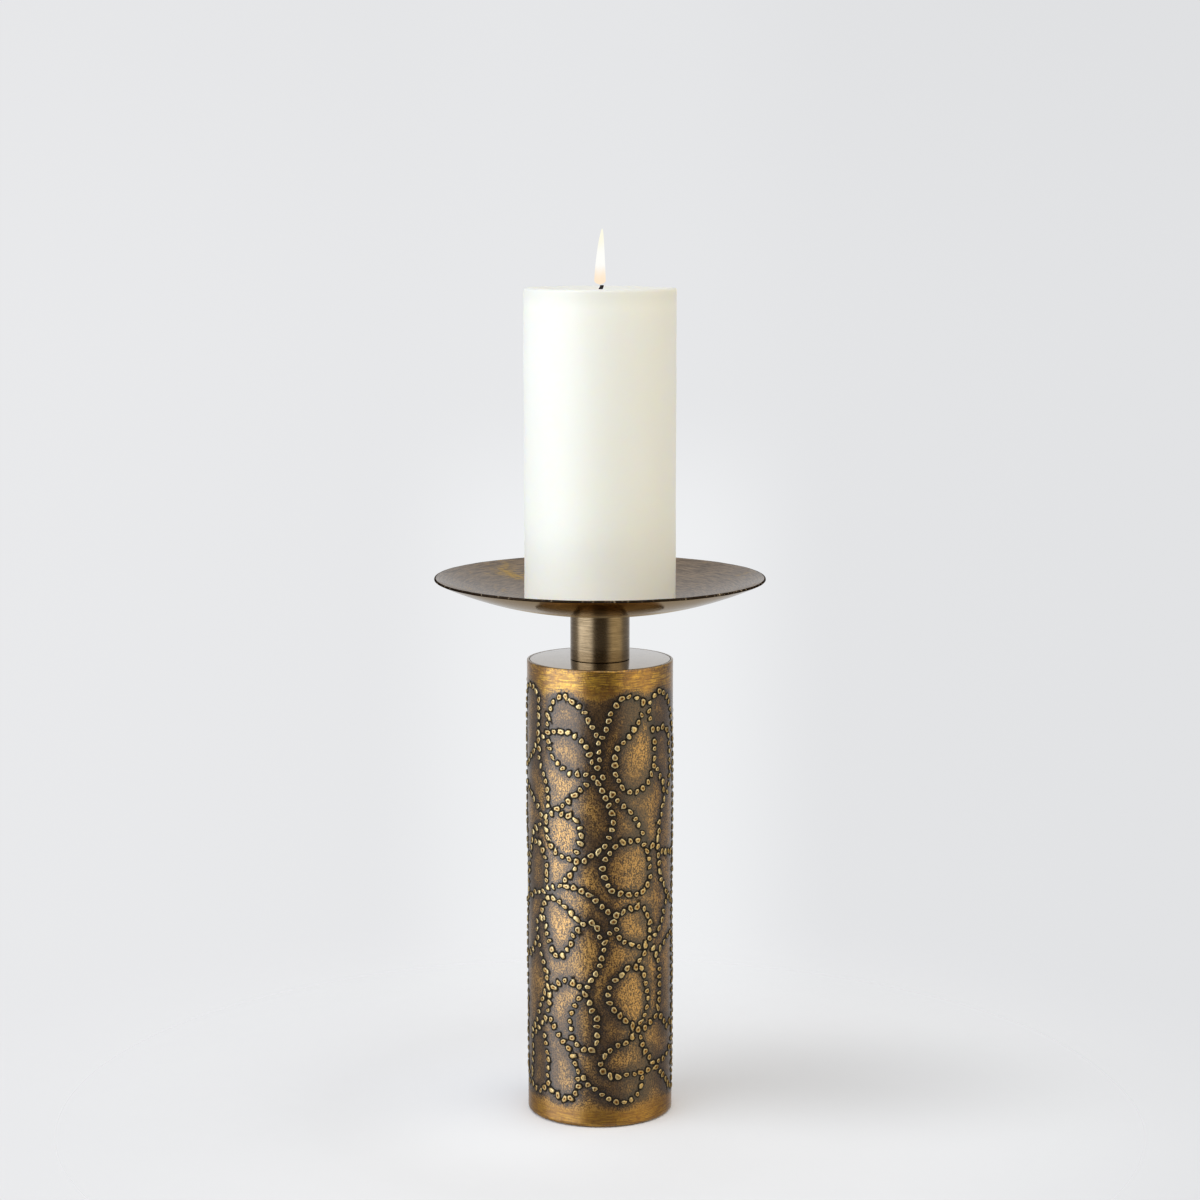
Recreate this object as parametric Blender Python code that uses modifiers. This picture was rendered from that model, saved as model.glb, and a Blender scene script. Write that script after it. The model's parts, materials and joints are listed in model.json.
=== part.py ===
"""Pillar candle holder: a wide shallow dish on a short neck, over a tall round base of punched sheet brass.

The base is a tube with a plate let into each end. A threaded rod runs through it, holds a cast weight at
the bottom and stands up through the top plate. The neck carries a threaded bush that screws down on the
rod's upper end, and a spike with a flange clamps the dish to the bush and centres the candle.

Units are metres, +Z is up, and the origin is the middle of the face that the holder rests on.
"""

import math

import bmesh
import bpy

MM = 0.001

# ---------------------------------------------------------------- driving sizes

GAP = 0.3 * MM  # clearance between pieces that touch on the real object
SHEET = 1.2 * MM  # thickness of the rolled and spun sheet metal

BASE_RADIUS = 37.0 * MM
BASE_TOP = 234.3 * MM
SLEEVE_LIFT = 0.5 * MM  # the felt stands this far proud of the sleeve's lower edge

FELT_THICKNESS = 1.5 * MM
PLATE_THICKNESS = 1.8 * MM
RECESS_RADIUS = 22.0 * MM  # raised middle of the base plate, over the nut
RECESS_HEIGHT = 7.4 * MM
BALLAST_RADIUS = 34.5 * MM
BALLAST_TOP = 22.0 * MM

THREAD_RADIUS = 4.0 * MM  # M8, drawn plain at its outer diameter
THREAD_PITCH = 1.25 * MM
SCREW_TURNS = 7  # turns of thread between the rod and the neck bush
NUT_FLATS = 13.0 * MM
NUT_HEIGHT = 4.0 * MM  # thin nuts
WASHER_RADIUS = 8.0 * MM
WASHER_THICKNESS = 1.3 * MM

NECK_RADIUS = 15.0 * MM
NECK_WALL = 1.8 * MM
NECK_WASHER_THICKNESS = 0.6 * MM
BUSH_HEIGHT = 16.0 * MM

DISH_RADIUS = 83.5 * MM
DISH_BOTTOM = 257.62 * MM  # underside of the dish on its axis
DISH_BOWL = 15.24 * MM  # rise of the underside at the rim, square term
DISH_FLARE = 2.21 * MM  # and its fourth-power term

SPIKE_HEIGHT = 24.0 * MM
SPIKE_RADIUS = 2.6 * MM
SPIKE_FLANGE_RADIUS = 8.0 * MM
SPIKE_FLANGE_THICKNESS = 1.4 * MM
CONE_WASHER_THICKNESS = 0.8 * MM

CANDLE_RADIUS = 38.1 * MM  # a three inch pillar
CANDLE_HEIGHT = 158.0 * MM
MELT_POOL_DEPTH = 2.4 * MM
WICK_RADIUS = 0.9 * MM
WICK_HEIGHT = 3.2 * MM  # above the candle's rim
FLAME_RADIUS = 2.8 * MM
FLAME_TIP = 30.0 * MM  # above the candle's rim

ROUND_STEPS = 72  # facets round the large pieces that show
INNER_STEPS = 48  # round the large hidden ones
SMALL_STEPS = 24  # and round the small ones

# ---------------------------------------------------------------- sizes that follow

BORE = THREAD_RADIUS + GAP
SLEEVE_BORE = BASE_RADIUS - SHEET
PLATE_RADIUS = SLEEVE_BORE - GAP
BASE_PLATE_BOTTOM = FELT_THICKNESS + GAP
RECESS_CEILING = BASE_PLATE_BOTTOM + RECESS_HEIGHT
RECESS_TOP = RECESS_CEILING + PLATE_THICKNESS
TOP_PLATE_BOTTOM = BASE_TOP - PLATE_THICKNESS
OUTER_NUT_BOTTOM = BASE_TOP + WASHER_THICKNESS + 2 * GAP
BUSH_BOTTOM = OUTER_NUT_BOTTOM + NUT_HEIGHT + 1.0 * MM
BUSH_TOP = BUSH_BOTTOM + BUSH_HEIGHT
ROD_TOP = BUSH_BOTTOM + SCREW_TURNS * THREAD_PITCH
ROD_BOTTOM = FELT_THICKNESS + 1.1 * MM
NECK_BOTTOM = BASE_TOP + NECK_WASHER_THICKNESS + 2 * GAP
NECK_TOP = DISH_BOTTOM + 0.1 * MM
CONE_WASHER_BOTTOM = DISH_BOTTOM + SHEET + 0.45 * MM
FLANGE_BOTTOM = CONE_WASHER_BOTTOM + CONE_WASHER_THICKNESS + GAP
FLANGE_TOP = FLANGE_BOTTOM + SPIKE_FLANGE_THICKNESS
SPIKE_TIP = FLANGE_TOP + SPIKE_HEIGHT
CANDLE_BOTTOM = FLANGE_TOP + 0.45 * MM
CANDLE_TOP = CANDLE_BOTTOM + CANDLE_HEIGHT
WICK_TOP = CANDLE_TOP + WICK_HEIGHT


# ---------------------------------------------------------------- tools


def clear_scene():
    """Removes every object, so that the model starts from nothing."""
    for obj in list(bpy.data.objects):
        bpy.data.objects.remove(obj, do_unlink=True)


def new_collection(name, hidden=False):
    """A collection of this name under the scene's own."""
    collection = bpy.data.collections.new(name)
    collection.hide_render = hidden
    bpy.context.scene.collection.children.link(collection)
    return collection


def material(name, colour, roughness, metallic):
    """A Principled material of one colour."""
    made = bpy.data.materials.new(name)
    made.use_nodes = True
    shader = made.node_tree.nodes["Principled BSDF"]
    shader.inputs["Base Color"].default_value = (*colour, 1.0)
    shader.inputs["Roughness"].default_value = roughness
    shader.inputs["Metallic"].default_value = metallic
    made.diffuse_color = (*colour, 1.0)
    return made


def arc(centre, radius, start, end, steps):
    """Points on an arc in the profile plane, from one angle to another in degrees, both ends included."""
    angles = [math.radians(start + (end - start) * i / steps) for i in range(steps + 1)]
    return [(centre[0] + radius * math.cos(a), centre[1] + radius * math.sin(a)) for a in angles]


def turned(name, profile, look, steps=SMALL_STEPS, closed=True):
    """A piece turned about Z from (radius, height) points that run down its outer side.

    A closed profile is a ring's section. An open one starts and ends on the axis.
    """
    mesh = bpy.data.meshes.new(name)
    points = [(r, 0.0, z) for r, z in profile]
    edges = [(i, i + 1) for i in range(len(points) - 1)]
    if closed:
        edges.append((len(points) - 1, 0))
    mesh.from_pydata(points, edges, [])
    mesh.materials.append(look)
    obj = bpy.data.objects.new(name, mesh)
    PARTS.objects.link(obj)
    screw = obj.modifiers.new("turn", "SCREW")
    screw.axis = "Z"
    screw.angle = 2 * math.pi
    screw.steps = steps
    screw.render_steps = steps
    screw.use_merge_vertices = True
    screw.merge_threshold = 0.00001
    screw.use_smooth_shade = True
    return obj


def disc(name, radius, bottom, thickness, look, bore=0.0, edge=0.2 * MM, steps=SMALL_STEPS):
    """A flat disc or washer with its outer edges eased."""
    top = bottom + thickness
    outer = [
        (radius - edge, top),
        (radius, top - edge),
        (radius, bottom + edge),
        (radius - edge, bottom),
    ]
    if bore:
        return turned(name, [(bore, top)] + outer + [(bore, bottom)], look, steps)
    return turned(name, [(0.0, top)] + outer + [(0.0, bottom)], look, steps, closed=False)


def hex_nut(name, bottom, look):
    """A thin hexagonal nut with its corners turned off, cut by a round bore."""
    mesh = bpy.data.meshes.new(name)
    shape = bmesh.new()
    corner_radius = NUT_FLATS / math.sqrt(3)
    bmesh.ops.create_cone(
        shape, cap_ends=True, segments=6, radius1=corner_radius, radius2=corner_radius, depth=NUT_HEIGHT
    )
    shape.to_mesh(mesh)
    shape.free()
    mesh.materials.append(look)
    nut = bpy.data.objects.new(name, mesh)
    nut.location.z = bottom + NUT_HEIGHT / 2
    PARTS.objects.link(nut)
    eased = nut.modifiers.new("eased", "BEVEL")
    eased.width = 0.3 * MM
    eased.segments = 1
    cut = nut.modifiers.new("bore", "BOOLEAN")
    cut.operation = "DIFFERENCE"
    cut.solver = "EXACT"
    cut.object = nut_cutter(name + "_bore", nut.location.z)
    return nut


def nut_cutter(name, height):
    """The cylinder that cuts a nut's bore."""
    bpy.ops.mesh.primitive_cylinder_add(
        vertices=24, radius=BORE, depth=3 * NUT_HEIGHT, location=(0.0, 0.0, height)
    )
    cutter = bpy.context.object
    cutter.name = name
    for collection in list(cutter.users_collection):
        collection.objects.unlink(cutter)
    CUTTERS.objects.link(cutter)
    cutter.hide_render = True
    cutter.display_type = "WIRE"
    return cutter


# ---------------------------------------------------------------- the base


def make_felt_pad():
    disc("felt_pad", PLATE_RADIUS - GAP, 0.0, FELT_THICKNESS, FELT, steps=INNER_STEPS)


def make_base_plate():
    """A pressed plate: flat round its rim, raised in the middle to hide the rod's nut."""
    bottom = BASE_PLATE_BOTTOM
    slope = 3.0 * MM
    profile = [
        (BORE, RECESS_TOP),
        (RECESS_RADIUS, RECESS_TOP),
        (RECESS_RADIUS + slope, bottom + PLATE_THICKNESS),
        (PLATE_RADIUS, bottom + PLATE_THICKNESS),
        (PLATE_RADIUS, bottom),
        (RECESS_RADIUS + slope - 1.2 * MM, bottom),
        (RECESS_RADIUS - 1.2 * MM, RECESS_CEILING),
        (BORE, RECESS_CEILING),
    ]
    turned("base_plate", profile, STEEL, INNER_STEPS)


def make_lower_fixings():
    """The washer and nut under the base plate, in its recess."""
    washer_bottom = RECESS_CEILING - GAP - WASHER_THICKNESS
    disc("lower_washer", WASHER_RADIUS, washer_bottom, WASHER_THICKNESS, ZINC, bore=BORE)
    hex_nut("lower_nut", washer_bottom - GAP - NUT_HEIGHT, ZINC)


def make_ballast():
    """A cast disc that sits over the plate's raised middle, and the nut that holds it."""
    hollow = RECESS_RADIUS + 4.0 * MM
    bottom = BASE_PLATE_BOTTOM + PLATE_THICKNESS + GAP
    ease = 2.0 * MM
    profile = [(BORE, BALLAST_TOP)]
    profile += arc((BALLAST_RADIUS - ease, BALLAST_TOP - ease), ease, 90, 0, 3)
    profile += [
        (BALLAST_RADIUS, bottom),
        (hollow, bottom),
        (hollow - 1.0 * MM, RECESS_TOP + GAP),
        (BORE, RECESS_TOP + GAP),
    ]
    turned("ballast_disc", profile, IRON, INNER_STEPS)
    hex_nut("ballast_nut", BALLAST_TOP + GAP, ZINC)


def make_tie_rod():
    """The threaded rod, with a chamfer at each end."""
    chamfer = 0.6 * MM
    profile = [
        (0.0, ROD_TOP),
        (THREAD_RADIUS - chamfer, ROD_TOP),
        (THREAD_RADIUS, ROD_TOP - chamfer),
        (THREAD_RADIUS, ROD_BOTTOM + chamfer),
        (THREAD_RADIUS - chamfer, ROD_BOTTOM),
        (0.0, ROD_BOTTOM),
    ]
    turned("tie_rod", profile, ZINC, closed=False)


def make_sleeve():
    """The rolled tube, with its outer edges eased."""
    ease = 0.3 * MM
    profile = [(SLEEVE_BORE, BASE_TOP)]
    profile += [(BASE_RADIUS - ease, BASE_TOP), (BASE_RADIUS, BASE_TOP - ease)]
    profile += [(BASE_RADIUS, SLEEVE_LIFT + ease), (BASE_RADIUS - ease, SLEEVE_LIFT)]
    profile += [(SLEEVE_BORE, SLEEVE_LIFT)]
    turned("sleeve", profile, PUNCHED_BRASS, ROUND_STEPS)


def make_top_plate():
    disc("top_plate", PLATE_RADIUS, TOP_PLATE_BOTTOM, PLATE_THICKNESS, BRONZE, bore=BORE, steps=ROUND_STEPS)


def make_upper_fixings():
    """The nut under the top plate, and the washer and nut on it, inside the neck."""
    hex_nut("inner_nut", TOP_PLATE_BOTTOM - GAP - NUT_HEIGHT, ZINC)
    disc("outer_washer", WASHER_RADIUS, BASE_TOP + GAP, WASHER_THICKNESS, ZINC, bore=BORE)
    hex_nut("outer_nut", OUTER_NUT_BOTTOM, ZINC)


# ---------------------------------------------------------------- neck and dish


def make_neck_washer():
    """A thin fibre washer between the neck's foot and the top plate."""
    disc(
        "neck_washer",
        NECK_RADIUS - 0.7 * MM,
        BASE_TOP + GAP,
        NECK_WASHER_THICKNESS,
        FIBRE,
        bore=WASHER_RADIUS + 1.0 * MM,
        edge=0.1 * MM,
        steps=INNER_STEPS,
    )


def make_neck():
    """The short tube between base and dish, eased at both ends."""
    ease = 0.6 * MM
    bore = NECK_RADIUS - NECK_WALL
    profile = [(bore, NECK_TOP)]
    profile += arc((NECK_RADIUS - ease, NECK_TOP - ease), ease, 90, 0, 2)
    profile += arc((NECK_RADIUS - ease, NECK_BOTTOM + ease), ease, 0, -90, 2)
    profile += [(bore, NECK_BOTTOM)]
    turned("neck", profile, BRONZE, INNER_STEPS)


def make_neck_bush():
    """The threaded plug brazed inside the neck: the rod screws in from below, the spike from above."""
    radius = NECK_RADIUS - NECK_WALL - GAP
    disc("neck_bush", radius, BUSH_BOTTOM, BUSH_TOP - BUSH_BOTTOM, STEEL, bore=BORE, edge=0.5 * MM)


def dish_underside(radius):
    """Height of the dish's underside at this radius."""
    share = radius / DISH_RADIUS
    return DISH_BOTTOM + DISH_BOWL * share**2 + DISH_FLARE * share**4


def dish_slope(radius):
    """Angle of the underside at this radius, in radians."""
    share = radius / DISH_RADIUS
    return math.atan((2 * DISH_BOWL * share + 4 * DISH_FLARE * share**3) / DISH_RADIUS)


def make_dish():
    """The spun dish: a shallow bowl of one thickness with a rounded rim and a hole in the middle."""
    hole = BORE + 0.1 * MM
    rings = 9
    lip = SHEET / 2
    tilt = dish_slope(DISH_RADIUS)
    last = DISH_RADIUS - lip * (1 - math.sin(tilt))
    radii = [hole + (last - hole) * i / (rings - 1) for i in range(rings)]
    upper = []
    for radius in radii:
        angle = dish_slope(radius)
        upper.append((radius - SHEET * math.sin(angle), dish_underside(radius) + SHEET * math.cos(angle)))
    upper[0] = (hole, upper[0][1])
    lower = [(radius, dish_underside(radius)) for radius in radii]
    centre = ((upper[-1][0] + lower[-1][0]) / 2, (upper[-1][1] + lower[-1][1]) / 2)
    turn = math.degrees(tilt)
    rim = arc(centre, lip, 90 + turn, -90 + turn, 4)
    turned("dish", upper[:-1] + rim + lower[-2::-1], BRONZE, ROUND_STEPS)


def make_dish_washer():
    disc("dish_washer", WASHER_RADIUS + 1.5 * MM, CONE_WASHER_BOTTOM, CONE_WASHER_THICKNESS, ZINC, bore=BORE)


def make_pricket():
    """The spike: a flange that clamps the dish, a stud into the bush below and a point for the candle."""
    stud_bottom = ROD_TOP + 0.5 * MM
    chamfer = 0.5 * MM
    profile = [
        (0.0, SPIKE_TIP),
        (0.35 * MM, SPIKE_TIP - 0.2 * MM),
        (SPIKE_RADIUS, FLANGE_TOP + 2.0 * MM),
        (SPIKE_RADIUS, FLANGE_TOP),
        (SPIKE_FLANGE_RADIUS - 0.2 * MM, FLANGE_TOP),
        (SPIKE_FLANGE_RADIUS, FLANGE_TOP - 0.2 * MM),
        (SPIKE_FLANGE_RADIUS, FLANGE_BOTTOM),
        (THREAD_RADIUS, FLANGE_BOTTOM),
        (THREAD_RADIUS, stud_bottom + chamfer),
        (THREAD_RADIUS - chamfer, stud_bottom),
        (0.0, stud_bottom),
    ]
    turned("pricket", profile, STEEL, closed=False)


# ---------------------------------------------------------------- candle


def make_candle():
    """A pillar with a shallow melt pool and wick hole on top, and a hole for the spike below."""
    ease = 1.2 * MM
    rim = 3.0 * MM
    wick_hole = WICK_RADIUS + GAP
    spike_hole = SPIKE_RADIUS + GAP
    pool = CANDLE_TOP - MELT_POOL_DEPTH
    profile = [(0.0, CANDLE_TOP - 20.0 * MM), (wick_hole, CANDLE_TOP - 20.0 * MM), (wick_hole, pool)]
    profile += [
        (CANDLE_RADIUS * 0.5, pool + 0.35 * MM),
        (CANDLE_RADIUS * 0.8, pool + 1.1 * MM),
        (CANDLE_RADIUS - rim, CANDLE_TOP - 0.2 * MM),
    ]
    profile += arc((CANDLE_RADIUS - ease, CANDLE_TOP - ease), ease, 90, 0, 3)
    profile += arc((CANDLE_RADIUS - ease, CANDLE_BOTTOM + ease), ease, 0, -90, 3)
    profile += [
        (spike_hole, CANDLE_BOTTOM),
        (spike_hole, SPIKE_TIP + 1.0 * MM),
        (0.0, SPIKE_TIP + 2.0 * MM),
    ]
    turned("candle", profile, WAX, ROUND_STEPS, closed=False)


def make_wick():
    """The wick, a round cord standing in the candle's hole."""
    bottom = CANDLE_TOP - 20.0 * MM + GAP
    profile = [
        (0.0, WICK_TOP),
        (WICK_RADIUS * 0.8, WICK_TOP - 0.2 * MM),
        (WICK_RADIUS, WICK_TOP - 0.8 * MM),
        (WICK_RADIUS, bottom),
        (0.0, bottom),
    ]
    turned("wick", profile, CHAR, 12, closed=False)


def make_flame():
    """A slender teardrop over the wick, widest a third of the way up."""
    bottom = WICK_TOP + GAP
    height = CANDLE_TOP + FLAME_TIP - bottom
    steps = 10
    profile = []
    for i in range(steps + 1):
        up = 1 - i / steps
        width = 0.0 if i in (0, steps) else FLAME_RADIUS * math.sin(math.pi * up**0.7) ** 0.9
        profile.append((width, bottom + height * up))
    turned("flame", profile, FIRE, 16, closed=False)


# ---------------------------------------------------------------- the whole

clear_scene()
PARTS = new_collection("pillar_candle_holder")
CUTTERS = new_collection("cutters", hidden=True)

PUNCHED_BRASS = material("punched_brass", (0.36, 0.22, 0.07), 0.38, 1.0)
BRONZE = material("antique_bronze", (0.23, 0.18, 0.12), 0.3, 1.0)
STEEL = material("plain_steel", (0.42, 0.42, 0.43), 0.4, 1.0)
ZINC = material("zinc_plated_steel", (0.62, 0.62, 0.6), 0.35, 1.0)
IRON = material("cast_iron", (0.06, 0.06, 0.065), 0.7, 0.6)
FELT = material("black_felt", (0.02, 0.02, 0.02), 0.95, 0.0)
FIBRE = material("fibre_washer", (0.05, 0.04, 0.035), 0.8, 0.0)
WAX = material("ivory_wax", (0.86, 0.83, 0.74), 0.5, 0.0)
CHAR = material("charred_wick", (0.01, 0.01, 0.01), 0.9, 0.0)
FIRE = material("flame", (1.0, 0.72, 0.3), 0.5, 0.0)

make_felt_pad()
make_base_plate()
make_lower_fixings()
make_ballast()
make_tie_rod()
make_sleeve()
make_top_plate()
make_upper_fixings()
make_neck_washer()
make_neck()
make_neck_bush()
make_dish()
make_dish_washer()
make_pricket()
make_candle()
make_wick()
make_flame()
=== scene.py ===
"""Looks of a pillar candle holder: punched brass base, bronze neck and dish, ivory candle with its flame.

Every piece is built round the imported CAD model, in its frame: +Z up, the origin in the middle of the face
that the holder rests on. Sizes in this script are in millimetres, and MM turns them into metres.
"""

import json
import math
import random

import bpy
import numpy as np
from mathutils.geometry import delaunay_2d_cdt
from mathutils.kdtree import KDTree
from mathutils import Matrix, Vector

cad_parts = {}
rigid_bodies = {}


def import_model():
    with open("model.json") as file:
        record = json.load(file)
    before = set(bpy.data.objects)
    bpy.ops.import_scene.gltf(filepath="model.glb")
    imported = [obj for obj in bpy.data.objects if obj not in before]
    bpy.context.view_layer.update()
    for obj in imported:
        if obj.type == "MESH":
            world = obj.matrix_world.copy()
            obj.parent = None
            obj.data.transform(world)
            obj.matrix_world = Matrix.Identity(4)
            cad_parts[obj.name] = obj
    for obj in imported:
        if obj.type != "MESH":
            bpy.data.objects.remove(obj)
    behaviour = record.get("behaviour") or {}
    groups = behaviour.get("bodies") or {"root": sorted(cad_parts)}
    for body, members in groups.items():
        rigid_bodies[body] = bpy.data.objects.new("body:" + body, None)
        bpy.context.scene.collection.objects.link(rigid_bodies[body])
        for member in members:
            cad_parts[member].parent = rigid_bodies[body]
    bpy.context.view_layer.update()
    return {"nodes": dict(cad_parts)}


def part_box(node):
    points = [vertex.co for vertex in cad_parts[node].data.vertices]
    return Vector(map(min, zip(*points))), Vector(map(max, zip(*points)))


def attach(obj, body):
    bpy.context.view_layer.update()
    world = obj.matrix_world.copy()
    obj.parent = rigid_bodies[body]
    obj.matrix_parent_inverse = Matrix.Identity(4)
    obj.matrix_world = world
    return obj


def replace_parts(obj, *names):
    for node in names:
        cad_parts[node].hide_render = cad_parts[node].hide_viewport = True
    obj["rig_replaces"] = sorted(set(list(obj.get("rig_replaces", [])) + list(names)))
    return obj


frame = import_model()

MM = 0.001
FULL_TURN = 2 * math.pi
TOUCHING = 1e-3  # points this close to an edge are on it


def extent(node):
    """Outer radius, lowest height and highest height of a turned CAD node."""
    low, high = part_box(node)
    return (high.y - low.y) / 2 / MM, low.z / MM, high.z / MM


# ---------------------------------------------------------------- sizes

SHEET = 1.2  # thickness of the rolled and spun metal
SLEEVE_RADIUS, SLEEVE_BOTTOM, SLEEVE_TOP = extent("sleeve")
HALF_ROUND = math.pi * SLEEVE_RADIUS  # from the front of the sleeve round to the seam at its back
PLATE_RADIUS, PLATE_BOTTOM, PLATE_TOP = extent("top_plate")
NECK_RADIUS, NECK_BOTTOM, NECK_TOP = extent("neck")
DISH_RADIUS, DISH_BOTTOM, DISH_TOP = extent("dish")
CANDLE_RADIUS, CANDLE_BOTTOM, CANDLE_TOP = extent("candle")
WICK_RADIUS, WICK_BOTTOM, _ = extent("wick")
FLAME_RADIUS, _, FLAME_TOP = extent("flame")
FELT_RADIUS, FELT_BOTTOM, FELT_TOP = extent("felt_pad")
WASHER_RADIUS = extent("neck_washer")[0]
PRICKET_RADIUS, PRICKET_BOTTOM, PRICKET_TOP = extent("pricket")

NECK_WALL = 1.8
SKIRT_GAP = 0.25  # left open under the neck's skirt, where the washer shows as a dark line
THREAD_RADIUS = 4.0
THREAD_PITCH = 1.25
BORE = THREAD_RADIUS + 0.3
DISH_BOWL = 15.24  # rise of the dish's underside at the rim: square term
DISH_FLARE = 2.21  # and fourth-power term
RIM_RIPPLE = 0.12  # the dish's rim is this uneven
RUBBED_SPOT = (-47.0, 58.0, DISH_TOP - 4.0)  # on the dish's inside, where it is rubbed golden
FLANGE_THICKNESS = 1.4
SPIKE_RADIUS = 2.6
SPIKE_HEIGHT = 24.0
MELT_POOL_DEPTH = 2.4
SHOULDER = 2.4  # height of the candle's rounded edges
RIM_WAVE = 0.35  # the candle's rim is this uneven
FRONT_RISE = 0.45  # half of how much higher it stands at the front than at the back
WALL_WAVE = 0.12  # the candle's wall is this far from round
WICK_TIP = CANDLE_TOP + 2.0  # the burnt end, which bends over, and the flame's foot just above it
WICK_TWIST = 0.9  # radians a mm
FLAME_FOOT = WICK_TIP + 0.2
FLAME_LEAN = 1.1  # how far the flame's tip leans to the right

# ---------------------------------------------------------------- the punched ornament

MARK_SPACING = 4.25  # along a line of marks
MARK_RADIUS = 1.5
MARK_HEIGHT = 0.70
MARK_CLEARANCE = 2.5  # least distance between two marks' centres
SEAM_CLEARANCE = 2.6  # the strip beside the sleeve's soldered seam, at the back, has no marks
MARK_STRAY = 0.22  # how far a mark strays from its line, as a standard deviation
MARK_SIZES = (0.80, 1.14)  # least and greatest, of MARK_RADIUS
MARK_STRETCHES = (1.0, 1.03, 1.06, 1.12, 1.2, 1.3)  # longer one way by this much, and narrower the other
MARK_HEIGHTS = (0.8, 1.1)  # least and greatest, of MARK_HEIGHT
PIT_DEPTHS = (0.4, 0.8, 1.0, 1.1, 1.2)
TAILS = (0, 0, 0, 0, 0, 0.3, 0.45, 0.7)  # how far one side of a mark is drawn out, of its radius
TAIL_WIDTH = 0.38  # in radians
EDGE_WAVES = ((2, 0.10, 1.0), (3, 0.075, 2.3), (5, 0.045, 4.1))  # round a mark's edge: count, size, slip
END_STRIP = 4.0  # plain strip at each end of the sleeve
GRID = 1.65  # spacing of the plain metal's points
FOOT_BAND_FADE = (5.0, 15.0)  # heights over which the plain band at the foot gives way to the ornament
TOP_BAND_FADE = (214.0, 226.0)  # and the ornament to the plain band at the top
END_FACE_FADE = (230.0, 233.0)  # below this, what faces up is a mark and not the sleeve's end face

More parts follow.
